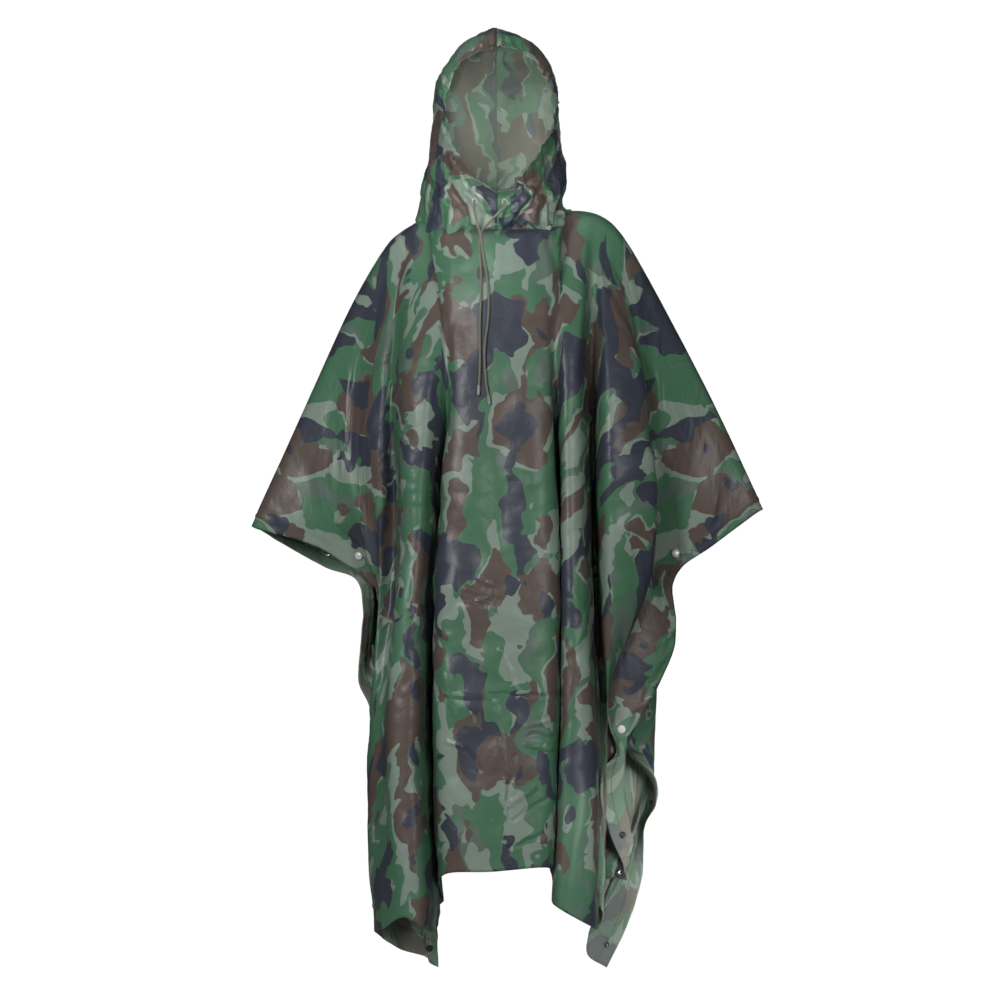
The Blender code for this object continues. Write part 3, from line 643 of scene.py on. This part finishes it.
def cord_clearance(points, reach):
    """A share that falls to 0 where the free ends of the drawcord lie on the cloth."""
    share = np.ones(points.shape[:2])
    for route in CORDS.values():
        distance = away_from(points, np.array(route)[:, [0, 2]] * MM)[0]
        share *= np.clip((distance - reach) / reach, 0, 1)
    return share


def hem_relief(points, across, down):
    """The turned hem's step and its line of stitching, along the bottom and the sides."""
    bottom = down[-1:] - down
    sides = np.minimum(across - across[:, :1], across[:, -1:] - across)
    rise = np.zeros(points.shape[:2])
    for reach, depth in ((bottom, HEM_DEPTH), (sides, SIDE_HEM_DEPTH)):
        rise += HEM_STEP * np.clip((depth - reach) / 0.004 + 1.0, 0, 1)
        rise -= STITCH_GROOVE * np.exp(-(((reach - depth + STITCH_INSET) / 0.0026) ** 2))
    return rise


def grid_mesh(name, points, across, down, reverse, sleeve=None):
    """A mesh of the points, which stand in rows, with its UV maps in metres of cloth."""
    rows, columns = points.shape[:2]
    shape = bmesh.new()
    bmesh.ops.create_grid(shape, x_segments=columns - 1, y_segments=rows - 1, size=0.5)
    cloth = shape.loops.layers.uv.new("cloth")
    arm = shape.loops.layers.uv.new("sleeve")
    share = shape.verts.layers.float.new("on_sleeve")
    for vertex in shape.verts:
        column = round((vertex.co.x + 0.5) * (columns - 1))
        row = round((0.5 - vertex.co.y) * (rows - 1))
        vertex.co = Vector(points[row, column])
        if sleeve is not None:
            vertex[share] = sleeve[0][row, column]
        for loop in vertex.link_loops:
            loop[cloth].uv = (across[row, column], -down[row, column])
            if sleeve is not None:
                loop[arm].uv = (sleeve[1][row, column], sleeve[2][row, column])
    if reverse:
        bmesh.ops.reverse_faces(shape, faces=shape.faces)
    mesh = mesh_of(name, shape)
    mesh.shade_smooth()
    return mesh


def cloth_piece(name, mesh, outside, inside):
    """A piece of cloth: the mesh given a thin wall, with its own material on the inner side."""
    piece = placed(name, mesh)
    mesh.materials.append(outside)
    mesh.materials.append(inside)
    thin = piece.modifiers.new("wall", "SOLIDIFY")
    thin.thickness = WALL
    thin.offset = 0.0
    thin.material_offset = 1
    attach(piece, "root")
    return piece


def noise_over(tree, place, noise_type="FBM", output="Fac", **inputs):
    """A noise over a place, with the node's own settings."""
    inputs = {"Vector": place, **inputs}
    return joined(tree, "ShaderNodeTexNoise", noise_type=noise_type, inputs=inputs).outputs[output]


def vector_sum(tree, operation, a, b, output="Vector"):
    """The outcome of one sum on two vectors, or on a vector and a scale."""
    inputs = {0: a, "Scale" if operation == "SCALE" else 1: b}
    return joined(tree, "ShaderNodeVectorMath", operation=operation, inputs=inputs).outputs[output]


def wandered(tree, place, scale, reach, detail=0.0):
    """A place moved about by a smooth noise, up to the reach."""
    field = noise_over(tree, place, output="Color", Scale=scale, Detail=detail)
    centred = vector_sum(tree, "SUBTRACT", field, (0.5, 0.5, 0.5))
    return vector_sum(tree, "ADD", place, vector_sum(tree, "SCALE", centred, reach))


GREEN = (0.078, 0.196, 0.112, 1)
GREY_GREEN = (0.122, 0.178, 0.146, 1)
PALE_GREEN = (0.250, 0.325, 0.268, 1)
BROWN = (0.122, 0.092, 0.078, 1)
SLATE = (0.052, 0.060, 0.084, 1)
# Each colour of the print in the order that it is laid on: where its patches start, how
# close together they are, and the noise's level that they begin at.
PATCHES = [
    (GREY_GREEN, (1.7, 9.2, 2.0), 19.0, 0.60),
    (PALE_GREEN, (3.1, 5.2, 1.0), 20.0, 0.572),
    (PALE_GREEN, (0.009, 0.004, 7.0), 18.0, 0.546),
    (BROWN, (0.0, 0.0, 7.0), 18.0, 0.546),
    (SLATE, (8.4, 2.6, 3.0), 18.0, 0.573),
]


def new_group(name, inputs, outputs):
    """An empty node group with these sockets, and the sockets at its start and its end."""
    group = bpy.data.node_groups.new(name, "ShaderNodeTree")
    for in_out, sockets in (("INPUT", inputs), ("OUTPUT", outputs)):
        for socket, kind in sockets.items():
            group.interface.new_socket(socket, in_out=in_out, socket_type=f"NodeSocket{kind}")
    return group, group.nodes.new("NodeGroupInput").outputs, group.nodes.new("NodeGroupOutput").inputs


def camouflage_group():
    """Common woodland camouflage over cloth in metres, in patches that are longer down it."""
    group, start, end = new_group("woodland camouflage", {"Cloth": "Vector"}, {"Colour": "Color"})
    place = wandered(group, start["Cloth"], scale=22.0, reach=0.046)
    place = wandered(group, place, scale=66.0, reach=0.0125)
    colour = GREEN
    for paint, offset, scale, level in PATCHES:
        inputs = {"Vector": place, "Location": offset, "Scale": (1, 0.42, 1)}
        spot = joined(group, "ShaderNodeMapping", inputs=inputs).outputs[0]
        field = noise_over(group, spot, Scale=scale, Detail=1.0, Roughness=0.42)
        colour = blended(group, share_between(group, field, level - 0.002, level + 0.002), colour, paint)
    group.links.new(colour, end["Colour"])
    return group


camouflage = camouflage_group()
PACKED_WIDTH = 0.0065


def packed_fold_group():
    """Adds one sharp fold, a tent over the line between two points, to a place's Y."""
    inputs = {"Place": "Vector", "Start": "Vector", "End": "Vector", "Height": "Float"}
    group, start, end = new_group("packed fold", inputs, {"Place": "Vector"})
    flat = vector_sum(group, "MULTIPLY", start["Place"], (1, 0, 1))
    here = vector_sum(group, "SUBTRACT", flat, start["Start"])
    line = vector_sum(group, "SUBTRACT", start["End"], start["Start"])
    reach = vector_sum(group, "DOT_PRODUCT", here, line, "Value")
    whole = vector_sum(group, "DOT_PRODUCT", line, line, "Value")
    share = joined(group, "ShaderNodeMath", operation="DIVIDE", use_clamp=True, inputs={0: reach, 1: whole})
    nearest = vector_sum(group, "SCALE", line, share.outputs[0])
    aside = vector_sum(group, "DISTANCE", here, nearest, "Value")
    tent = joined(group, "ShaderNodeMapRange", inputs={0: aside, 1: 0.0, 2: PACKED_WIDTH, 3: 1.0, 4: 0.0})
    rise = sums(group, "MULTIPLY", tent.outputs[0], start["Height"])
    inputs = {0: (0, 1, 0), 1: rise, 2: start["Place"]}
    raised = joined(group, "ShaderNodeVectorMath", operation="MULTIPLY_ADD", inputs=inputs)
    group.links.new(raised.outputs[0], end["Place"])
    return group


packed_fold = packed_fold_group()


def packed_height(tree, folds):
    """The height in metres of all the sharp folds, each two places and a height in millimetres."""
    spot = joined(tree, "ShaderNodeTexCoord").outputs["Object"]
    uneven = wandered(tree, spot, scale=40.0, reach=0.012, detail=1.0)
    carried = vector_sum(tree, "MULTIPLY", uneven, (1, 0, 1))
    for (x0, z0), (x1, z1), height in folds:
        ends = {"Start": (x0 * MM, 0, z0 * MM), "End": (x1 * MM, 0, z1 * MM), "Height": height * MM}
        fold = joined(tree, "ShaderNodeGroup", node_tree=packed_fold, inputs={"Place": carried, **ends})
        carried = fold.outputs["Place"]
    return joined(tree, "ShaderNodeSeparateXYZ", inputs={0: carried}).outputs["Y"]


PALE_BACK = (0.50, 0.57, 0.48, 1)


def cloth_material(name, inner=False, packed=()):
    """Coated nylon: a soft sheen outside, and the print's pale back on the inner side."""
    made, tree, shader = principled(name, (0.1, 0.16, 0.1), 0.66 if inner else 0.38)
    shader.inputs["Specular IOR Level"].default_value = 0.30 if inner else 0.42
    place = joined(tree, "ShaderNodeUVMap", uv_map="cloth").outputs[0]
    arm = joined(tree, "ShaderNodeUVMap", uv_map="sleeve").outputs[0]
    share = joined(tree, "ShaderNodeAttribute", attribute_name="on_sleeve").outputs["Fac"]
    there = sums(tree, "GREATER_THAN", sums(tree, "ADD", share, noise_over(tree, place, Scale=14.0)), 1.0)
    printed = joined(tree, "ShaderNodeMix", data_type="VECTOR", inputs={0: there, 4: place, 5: arm})
    pattern = joined(tree, "ShaderNodeGroup", node_tree=camouflage, inputs={"Cloth": printed.outputs[1]})
    colour = pattern.outputs["Colour"]
    if inner:
        colour = blended(tree, 0.24, colour, PALE_BACK)
    tree.links.new(colour, shader.inputs["Base Color"])
    worn = noise_over(tree, place, Scale=9.0, Detail=0.0)
    where = share_between(tree, worn, 0.46, 0.66)
    ridged = {"Scale": 24.0, "Detail": 2.0, "Distortion": 0.4}
    crumple = sums(tree, "MULTIPLY", where, noise_over(tree, place, "RIDGED_MULTIFRACTAL", **ridged))
    relief = [
        (noise_over(tree, place, Scale=900.0, Detail=1.0), 0.25, 0.0002),  # weave
        (noise_over(tree, place, Scale=48.0, Detail=3.0, Distortion=0.8), 0.35, 0.0018),  # puckers
        (crumple, 1.0, 0.005),
    ]
    if packed:
        relief.append((packed_height(tree, packed), 1.0, 1.0))
    under = {}
    for height, strength, distance in relief:
        inputs = {"Height": height, "Strength": strength, "Distance": distance, **under}
        under = {"Normal": joined(tree, "ShaderNodeBump", inputs=inputs).outputs[0]}
    tree.links.new(under["Normal"], shader.inputs["Normal"])
    return made


inner_cloth = cloth_material("camouflage nylon, inner side", inner=True)


def handled_group():
    """Small dull spots, as handling leaves them, over a finish's own colour and roughness."""
    inputs = {"Place": "Vector", "Clean": "Color", "Dull": "Color", "Smooth": "Float", "Rough": "Float"}
    outputs = {"Colour": "Color", "Roughness": "Float"}
    group, start, end = new_group("handled finish", inputs, outputs)
    spots = noise_over(group, start["Place"], Scale=420.0, Detail=3.0)
    share = share_between(group, spots, 0.42, 0.68)
    group.links.new(blended(group, share, start["Clean"], start["Dull"]), end["Colour"])
    gloss = {0: share, 3: start["Smooth"], 4: start["Rough"]}
    group.links.new(joined(group, "ShaderNodeMapRange", inputs=gloss).outputs[0], end["Roughness"])
    return group


handled_finish = handled_group()


def handled(name, clean, dull, smooth, rough, metallic=0.0):
    """A finish with handling's dull spots: its material, tree, shader and the colour's socket."""
    made, tree, shader = principled(name, clean, smooth, metallic)
    values = {"Clean": (*clean, 1), "Dull": (*dull, 1), "Smooth": smooth, "Rough": rough}
    place = joined(tree, "ShaderNodeTexCoord").outputs["Object"]
    finish = joined(tree, "ShaderNodeGroup", node_tree=handled_finish, inputs={"Place": place, **values})
    tree.links.new(finish.outputs["Colour"], shader.inputs["Base Color"])
    tree.links.new(finish.outputs["Roughness"], shader.inputs["Roughness"])
    return made, tree, shader, finish.outputs["Colour"]


STITCH_PITCH = 0.0046
STITCH_LENGTH = 0.0034
STITCHES_START = 0.004
THREAD = 0.0008
THREAD_FINISH = {"clean": (0.066, 0.082, 0.050), "dull": (0.048, 0.060, 0.036), "smooth": 0.62, "rough": 0.80}
thread = handled("olive thread", **THREAD_FINISH)[0]


def seam_line(points, normals, run, depth):
    """The line at this run along each column of a grid, as places and normals."""
    line = []
    for column in range(points.shape[1]):
        at = min(np.interp(depth, run[:, column], np.arange(len(run))), len(run) - 1.001)
        low, share = int(at), at % 1
        between = [grid[low : low + 2, column] for grid in (points, normals)]
        line.append([first * (1 - share) + second * share for first, second in between])
    return np.array(line).transpose(1, 0, 2)


def stitched(name, lines):
    """A piece of lockstitches along some lines, each stitch a small block of thread."""
    shape = bmesh.new()
    size = Matrix.Diagonal((STITCH_LENGTH, THREAD, THREAD, 1))
    for place, out in lines:
        run = run_of(place)
        for start in np.arange(STITCHES_START, run[-1] - STITCHES_START, STITCH_PITCH):
            a, b = points_along(place, run, start), points_along(place, run, start + STITCH_LENGTH)
            up = Vector(points_along(out, run, start))
            x = Vector(b - a).normalized()
            z = (up - x * x.dot(up)).normalized()
            turn = Matrix((x, z.cross(x), z)).transposed().to_4x4()
            middle = Matrix.Translation((a + b) / 2 + np.array(z) * (WALL / 2 + THREAD / 4))
            bmesh.ops.create_cube(shape, size=1, matrix=middle @ turn @ size)
    piece = placed(name, mesh_of(name, shape))
    piece.data.materials.append(thread)
    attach(piece, "root")


def make_panel(side, creases, packed, seed):
    """One half of the sheet, with its creases, its ripples and its hem."""
    facing = -1 if side == "front" else 1
    points = panel_points(side)
    across, down = grid_runs(points)
    flat = quiet_near(points, snap_spots(), SNAP_FLAT)
    shoulder_share = np.clip(down / 0.03, 0, 1)
    normals = grid_normals(points, facing)
    rise = creased(points, normals, facing, creases) + ripples(across, down, seed)
    rise = (rise + neck_gathers(across, down, seed)) * flat * shoulder_share
    if side == "front":
        under_cord = cord_clearance(points, CORD_FLAT)
        rise = np.minimum(rise, 0) + np.maximum(rise, 0) * under_cord
    rise += hem_relief(points, across, down) * flat
    points = points + normals * rise[..., None]
    sleeve = on_sleeve(side, points)
    mesh = grid_mesh(f"cloth_{side}", points, across, down * -facing, side == "back", sleeve)
    outer_cloth = cloth_material(f"camouflage nylon, {side}", packed=packed)
    piece = cloth_piece(f"cloth_{side}", mesh, outer_cloth, inner_cloth)
    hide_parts(side)
    across, down = grid_runs(points)
    turned, turned_normals = points.transpose(1, 0, 2), normals.transpose(1, 0, 2)
    from_hem, from_right = (down[-1:] - down)[::-1], (across - across[:, :1]).T
    from_left = (across[:, -1:] - across).T[::-1]
    bottom, inside = HEM_DEPTH - STITCH_INSET, SIDE_HEM_DEPTH - STITCH_INSET
    lines = [
        seam_line(points[::-1], normals[::-1], from_hem, bottom),
        seam_line(turned, turned_normals, from_right, inside),
        seam_line(turned[::-1], turned_normals[::-1], from_left, inside),
    ]
    stitched(f"stitches_{side}", lines)
    return points


# The main creases: how wide and how high each is, and its line in x and z.
FRONT_CREASES = [
    (5, 3.6, [(-90, -764), (-40, -762), (20, -765), (100, -760)]),
    (5, 4.0, [(6, -690), (22, -730), (38, -762)]),
    (5, -3.4, [(-50, -585), (-20, -600), (22, -612)]),
    (5, 3.2, [(-40, -622), (-10, -612), (16, -596)]),
    (5, 3.0, [(30, -804), (60, -830), (92, -868)]),
    (6, -3.0, [(26, -826), (54, -846), (88, -850)]),
    (6, -3.0, [(12, -965), (50, -990), (88, -1014)]),
    (6, 2.6, [(-60, -1000), (-30, -990), (4, -1004)]),
    (5, 3.4, [(12, -770), (15, -850), (10, -950), (14, -1040)]),
    (7, 3.0, [(-128, -690), (-140, -730), (-150, -790)]),
    (7, 3.0, [(-90, -880), (-76, -820), (-50, -780)]),
    (8, 3.4, [(170, -640), (190, -700), (200, -760)]),
    (7, -3.0, [(150, -660), (172, -720), (180, -800)]),
    (5, 4.5, [(17, -22), (28, -15), (41, -9), (54, -2)]),
    (5, -3.2, [(24, -32), (44, -26), (62, -20)]),
    (7, 3.0, [(6, -40), (28, -38), (66, -33)]),
    (5, 2.4, [(-70, -16), (-58, -24), (-46, -30)]),
    (5, 2.6, [(86, -86), (98, -98), (104, -118), (108, -160)]),
    (5, 2.0, [(74, -92), (86, -110), (92, -150)]),
    (6, 2.4, [(238, -290), (255, -400), (270, -560)]),
]

# Sharp folds that the cloth keeps from its packing: from one place to another in x and z,
# and how far each stands out.
FRONT_PACKED = [
    ((-92, -763), (-12, -767), 1.7),
    ((-12, -763), (104, -766), -1.9),
    ((6, -690), (38, -766), 2.0),
    ((0, -775), (14, -900), 1.6),
    ((14, -900), (17, -1034), 1.6),
    ((28, -861), (13, -994), -1.5),
    ((-50, -594), (-14, -606), 1.6),
    ((-42, -583), (-8, -594), -1.5),
    ((-30, -613), (8, -604), 1.6),
    ((-13, -584), (-2, -626), 1.4),
    ((-54, -608), (-22, -619), -1.4),
    ((50, -812), (90, -805), 1.6),
    ((54, -826), (90, -833), -1.6),
    ((46, -842), (84, -851), 1.6),
    ((-80, -841), (-52, -846), 1.4),
    ((-52, -846), (-28, -882), -1.5),
    ((20, -940), (60, -911), 1.6),
    ((26, -962), (82, -929), -1.7),
    ((22, -1006), (72, -990), -1.6),
    ((-86, -730), (-68, -796), 1.4),
]
front_points = make_panel("front", FRONT_CREASES, FRONT_PACKED, seed=11.0)

# ------------------------------------------------------------------ back of the sheet
# The other half of the same oblong hangs behind, from the same fold over the shoulders,
# with the same hem.

BACK_CREASES = [
    (10, 3.0, [(-110, -560), (-40, -566), (40, -560), (110, -568)]),
    (8, 2.4, [(0, -130), (4, -400), (0, -700), (3, -1040)]),
    (8, -2.2, [(-70, -300), (-20, -330), (40, -345)]),
    (8, 2.2, [(30, -780), (60, -810), (92, -850)]),
    (7, -2.0, [(-80, -900), (-40, -930), (10, -950)]),
    (7, 2.2, [(-240, -280), (-262, -400), (-280, -520)]),
    (7, 2.2, [(236, -260), (262, -380), (284, -500)]),
]
BACK_PACKED = [
    ((-110, -560), (0, -565), 1.8),
    ((0, -560), (110, -567), -1.8),
    ((2, -140), (-2, -560), 1.3),
    ((0, -575), (4, -1040), 1.3),
    ((30, -780), (92, -850), 1.4),
    ((-80, -900), (10, -952), -1.4),
]
back_points = make_panel("back", BACK_CREASES, BACK_PACKED, seed=41.0)

# ------------------------------------------------------------------ hood
# The hood is two halves of the same cloth, sewn together over the head and at the
# throat, and gathered into the neck hole. A casing is turned round the face for the cord.

RING_COLUMNS = ("throat_reach", "throat_z", "seam_reach", "seam_z", "right", "left")
RING_COLUMNS += ("widest", "peak", "neck")
HOOD_RINGS = [
    (95, -11, -80, 27, 118, 118, 0.50, 0.35, 1.0),
    (97, -3, -84, 38, 120, 120, 0.50, 0.35, 0.95),
    (103, 7, -102, 62, 120, 104, 0.50, 0.35, 0.5),
    (108, 18, -116, 112, 121, 117, 0.49, 0.35, 0.0),
    (112, 28, -124, 170, 113, 117, 0.475, 0.35, 0.0),
    (115, 36, -118, 224, 111, 104, 0.47, 0.35, 0.0),
    (118, 43, -88, 272, 110, 101, 0.485, 0.35, 0.0),
    (121, 47, -40, 304, 107, 99, 0.51, 0.35, 0.0),
    (124, 50, 25, 324, 101, 98, 0.52, 0.35, 0.0),
    (127, 51, 100, 311, 92, 96, 0.56, 0.30, 0.0),
    (129, 52, 148, 277, 82, 91, 0.59, 0.18, 0.0),
]
HOOD_STRIPS = 144
HOOD_STEPS = 12
HALF_GIRTH = 0.36  # about how far round one half is
CASING_DEPTH = 0.020
HOOD_PRINT_START = 0.47


def ring_point(row, sign, turn):
    """A ring's point at this turn, from the throat at 0 to the centre seam at 1."""
    throat = np.array([0.0, -row["throat_reach"], row["throat_z"]])
    seam = np.array([0.0, -row["seam_reach"], row["seam_z"]])
    up = (1 - math.cos(math.pi * turn)) / 2
    place = throat + (seam - throat) * up ** (math.log(row["widest"]) / math.log(0.5))
    half = row["left"] if sign > 0 else row["right"]
    place[0] = sign * half * math.sin(math.pi * turn) ** (1 + row["peak"] * up**2)
    return place


def neck_edge(sign, turns):
    """Points of the neck hole's edge on one hand, from the throat round to the nape."""
    halves = []
    for panel in (front_points, back_points):
        edge = panel[0]
        edge = edge[np.argsort(edge[:, 0] * sign)]
        halves.append(points_along(edge, edge[:, 0] * sign, np.linspace(0, NECK_HALF_WIDTH, 61)))
    edge = np.concatenate([halves[0], halves[1][::-1]])
    run = run_of(edge)
    return points_along(edge, run, turns * run[-1])


def hood_relief(points, across, down, sign, seed):
    """The gathers at the neck and the throat, the casing's puckers and the seams' grooves."""
    turns = np.linspace(0, 1, points.shape[1])
    from_neck = down
    from_face = down[-1:] - down
    rise = np.zeros(points.shape[:2])
    for index in np.ndindex(rise.shape):
        u = turns[index[1]] * HALF_GIRTH
        v = from_neck[index]
        w = from_face[index]
        bunched = math.exp(-v / 0.050)
        drawn = math.exp(-((w / 0.050) ** 2))
        rise[index] += 0.009 * bunched * noise.noise(Vector((u * 38.0, v * 7.0, seed)))
        rise[index] += bunched * crumpled((u, v * 0.30), seed, ((0.026, 42.0), (0.013, 90.0)))
        rise[index] += drawn * crumpled((u, w * 0.35), seed + 9, ((0.009, 60.0), (0.004, 140.0)))
        rise[index] += 0.0060 * noise.noise(Vector((u * 13.0, v * 9.0, seed + 2.0)))
        rise[index] += crumpled((u, v), seed, ((0.012, 9.0), (0.0050, 22.0), (0.0016, 60.0)))
    rise += 0.0012 * np.clip((CASING_DEPTH - from_face) / 0.003, 0, 1)
    rise -= STITCH_GROOVE * np.exp(-(((from_face - CASING_DEPTH) / 0.0025) ** 2))
    seams = np.minimum(across - across[:, :1], across[:, -1:] - across)
    rise -= 0.0008 * np.exp(-((seams / 0.0030) ** 2))
    rise += 0.0010 * np.exp(-(((seams - 0.008) / 0.004) ** 2))
    return rise * np.clip(from_neck / 0.004, 0, 1)


def bunched_over(points, normals, down, turns, seed):
    """How the hood's fullness rolls out and down over its own seam, more here and less there."""
    shift = np.zeros(points.shape)
    for index in np.ndindex(points.shape[:2]):
        u = turns[index[1]] * HALF_GIRTH
        roll = math.exp(-(((down[index] - 0.019) / 0.014) ** 2))
        fullness = 0.55 + 1.1 * noise.noise(Vector((u * 24.0, 0.5, seed)))
        fullness += 0.5 * noise.noise(Vector((u * 60.0, 1.5, seed)))
        throat = min(1.0, turns[index[1]] / 0.10)
        over = normals[index] * 0.016 - np.array([0, 0, 0.026])
        shift[index] = over * roll * max(0.0, fullness) * throat
    return shift


def make_hood(hand, creases, seed):
    """One half of the hood, from the neck hole up and round to the face."""
    sign = -1 if hand == "right" else 1
    turns = np.linspace(0, 1, HOOD_STRIPS + 1)
    rows = table(RING_COLUMNS, HOOD_RINGS)
    rings = np.array([[ring_point(row, sign, turn) for turn in turns] for row in rows])
    shift = neck_edge(sign, turns) - rings[0]
    rings += shift * np.array([row["neck"] for row in rows])[:, None, None]
    points = np.array([through(line, HOOD_STEPS) for line in rings.transpose(1, 0, 2)]).transpose(1, 0, 2)
    across, down = grid_runs(points)
    spots = [sum(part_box(f"eyelet_{side}"), Vector()) / 2 for side in ("right", "left")]
    normals = grid_normals(points, -sign)
    rise = hood_relief(points, across, down, sign, seed) + creased(points, normals, -1, creases)
    rise *= quiet_near(points, spots, EYELET_FLAT)
    points = points + normals * rise[..., None]
    points += bunched_over(points, normals, down, turns, seed)
    down = down + HOOD_PRINT_START
    mesh = grid_mesh(f"hood_{hand}_cloth", points, across * sign, down, reverse=hand == "left")
    piece = cloth_piece(f"hood_{hand}_cloth", mesh, hood_cloth, inner_cloth)
    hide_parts(f"hood_{hand}")
    down = grid_runs(points)[1]
    edge = seam_line(points[::-1], normals[::-1], (down[-1:] - down)[::-1], CASING_DEPTH - STITCH_INSET)
    stitched(f"stitches_hood_{hand}", [edge])


# The main creases of each half, as on the front, and then the sharp folds of both.
RIGHT_CREASES = [
    (4.5, 4.3, [(-98, 62), (-84, 30), (-76, 4)]),
    (3.8, 3.5, [(-108, 48), (-95, 18), (-90, -2)]),
    (3.8, 3.2, [(-86, 66), (-70, 36), (-64, 10)]),
    (4.5, 4.6, [(-74, 34), (-68, 8), (-60, -4)]),
    (3.8, -3.8, [(-58, 34), (-46, 12), (-34, -2)]),
    (3.0, 2.3, [(-26, 28), (-16, 27), (-6, 28)]),
    (3.0, -2.6, [(-28, 18), (-16, 16), (-5, 18)]),
    (3.0, 2.3, [(-26, 2), (-16, 1), (-6, 2)]),
    (6.0, 4.3, [(-112, 130), (-104, 100), (-96, 74)]),
    (7.5, 4.9, [(-88, 250), (-100, 200), (-106, 160)]),
]
LEFT_CREASES = [
    (4.5, 6.1, [(66, 58), (43, 33), (28, 20), (15, 2)]),
    (3.8, -6.4, [(74, 54), (50, 28), (34, 12), (20, -6)]),
    (3.8, 4.3, [(46, 10), (58, 17), (78, 18), (96, 12)]),
    (3.8, -4.9, [(44, 4), (66, 8), (92, 4)]),
    (3.8, 5.2, [(86, 60), (95, 39), (105, 20), (113, 4)]),
    (3.8, -4.3, [(80, 54), (88, 36), (94, 20)]),
    (3.0, 2.3, [(6, 27), (14, 26), (22, 28)]),
    (3.0, -2.6, [(5, 17), (14, 16), (24, 18)]),
    (6.0, 4.9, [(92, 120), (104, 96), (112, 72)]),
    (7.5, 4.6, [(80, 240), (94, 196), (100, 150)]),
]
HOOD_PACKED = [
    ((-90, 154), (-72, 94), 1.8),
    ((-72, 94), (-48, 54), 1.8),
    ((-112, 82), (-68, 28), 2.0),
    ((-104, 67), (-81, 9), -1.8),
    ((-75, 41), (-48, 2), 2.0),
    ((-117, 43), (-92, -1), 1.8),
    ((-62, 60), (-40, 20), -1.6),
    ((86, 67), (54, 54), 2.0),
    ((54, 54), (21, 25), 2.2),
    ((21, 25), (11, -1), 2.0),
    ((41, -4), (86, 2), 1.8),
    ((62, 35), (102, 15), -2.0),
    ((29, 15), (70, 28), 1.8),
    ((98, 80), (112, 30), 1.8),
    ((88, 226), (90, 186), 1.6),
    ((90, 186), (72, 146), 1.8),
    ((72, 146), (54, 94), 1.8),
    ((-26, 287), (27, 276), 1.6),
    ((27, 276), (40, 258), 1.6),
    ((-84, 236), (-100, 186), 1.8),
]
hood_cloth = cloth_material("camouflage nylon, hood", packed=HOOD_PACKED)
make_hood("right", RIGHT_CREASES, seed=5.0)
make_hood("left", LEFT_CREASES, seed=27.0)

# ------------------------------------------------------------------ eyelets
# Two small rolled brass eyelets, plated bright and pressed through the casing, let the
# drawcord out below the face.


def dressed(node, finish):
    """A solid's node with its own finish."""
    node.data.materials.clear()
    node.data.materials.append(finish)


EYELET_FINISH = {"clean": (0.94, 0.94, 0.92), "dull": (0.82, 0.81, 0.77), "smooth": 0.27, "rough": 0.40}
bright_metal = handled("bright nickel plate", **EYELET_FINISH, metallic=0.55)[0]
for hand in ("right", "left"):
    dressed(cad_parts[f"eyelet_{hand}"], bright_metal)

# ------------------------------------------------------------------ cord tips
# Each end of the cord is held in a sleeve of clear plastic, shrunk on so that the braid
# doesn't fray.

TIP_FINISH = {"clean": (0.64, 0.68, 0.62), "dull": (0.54, 0.57, 0.50), "smooth": 0.11, "rough": 0.26}
clear_plastic, _, tip_shader, _ = handled("clear plastic", **TIP_FINISH)
tip_shader.inputs["Transmission Weight"].default_value = 0.55
for hand in ("right", "left"):
    dressed(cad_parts[f"cord_tip_{hand}"], clear_plastic)

# ------------------------------------------------------------------ snaps
# Ring snaps of plated brass, pressed through the side hems: a bright domed cap outside
# and a socket inside on the front, and a stud inside and its post outside on the back.

SNAP_FINISH = {"clean": (0.135, 0.135, 0.125), "dull": (0.095, 0.088, 0.076), "smooth": 0.20, "rough": 0.34}
CAP_FINISH = {"clean": (0.96, 0.96, 0.94), "dull": (0.84, 0.83, 0.79), "smooth": 0.23, "rough": 0.36}
dark_metal = handled("dark nickel plate", **SNAP_FINISH, metallic=1.0)[0]
cap_metal, cap_tree, cap_shader, cap_colour = handled("polished cap", **CAP_FINISH, metallic=0.2)
# Where the dome turns away from the camera its colour goes near black: a painted reflection of the dark
# surroundings in the cap's rim.
tilt = joined(cap_tree, "ShaderNodeLayerWeight", inputs={"Blend": 0.5})
painted_rim_share = share_between(cap_tree, tilt.outputs["Facing"], 0.50, 0.72)
cap_colour_with_painted_rim = blended(cap_tree, painted_rim_share, cap_colour, (0.03, 0.03, 0.03, 1))
cap_tree.links.new(cap_colour_with_painted_rim, cap_shader.inputs["Base Color"])
for name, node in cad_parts.items():
    if name.startswith("snap_"):
        bright = name.endswith("cap") and "left_corner" not in name  # the left corner's cap is given the dark plate, unlike the other caps
        dressed(node, cap_metal if bright else dark_metal)
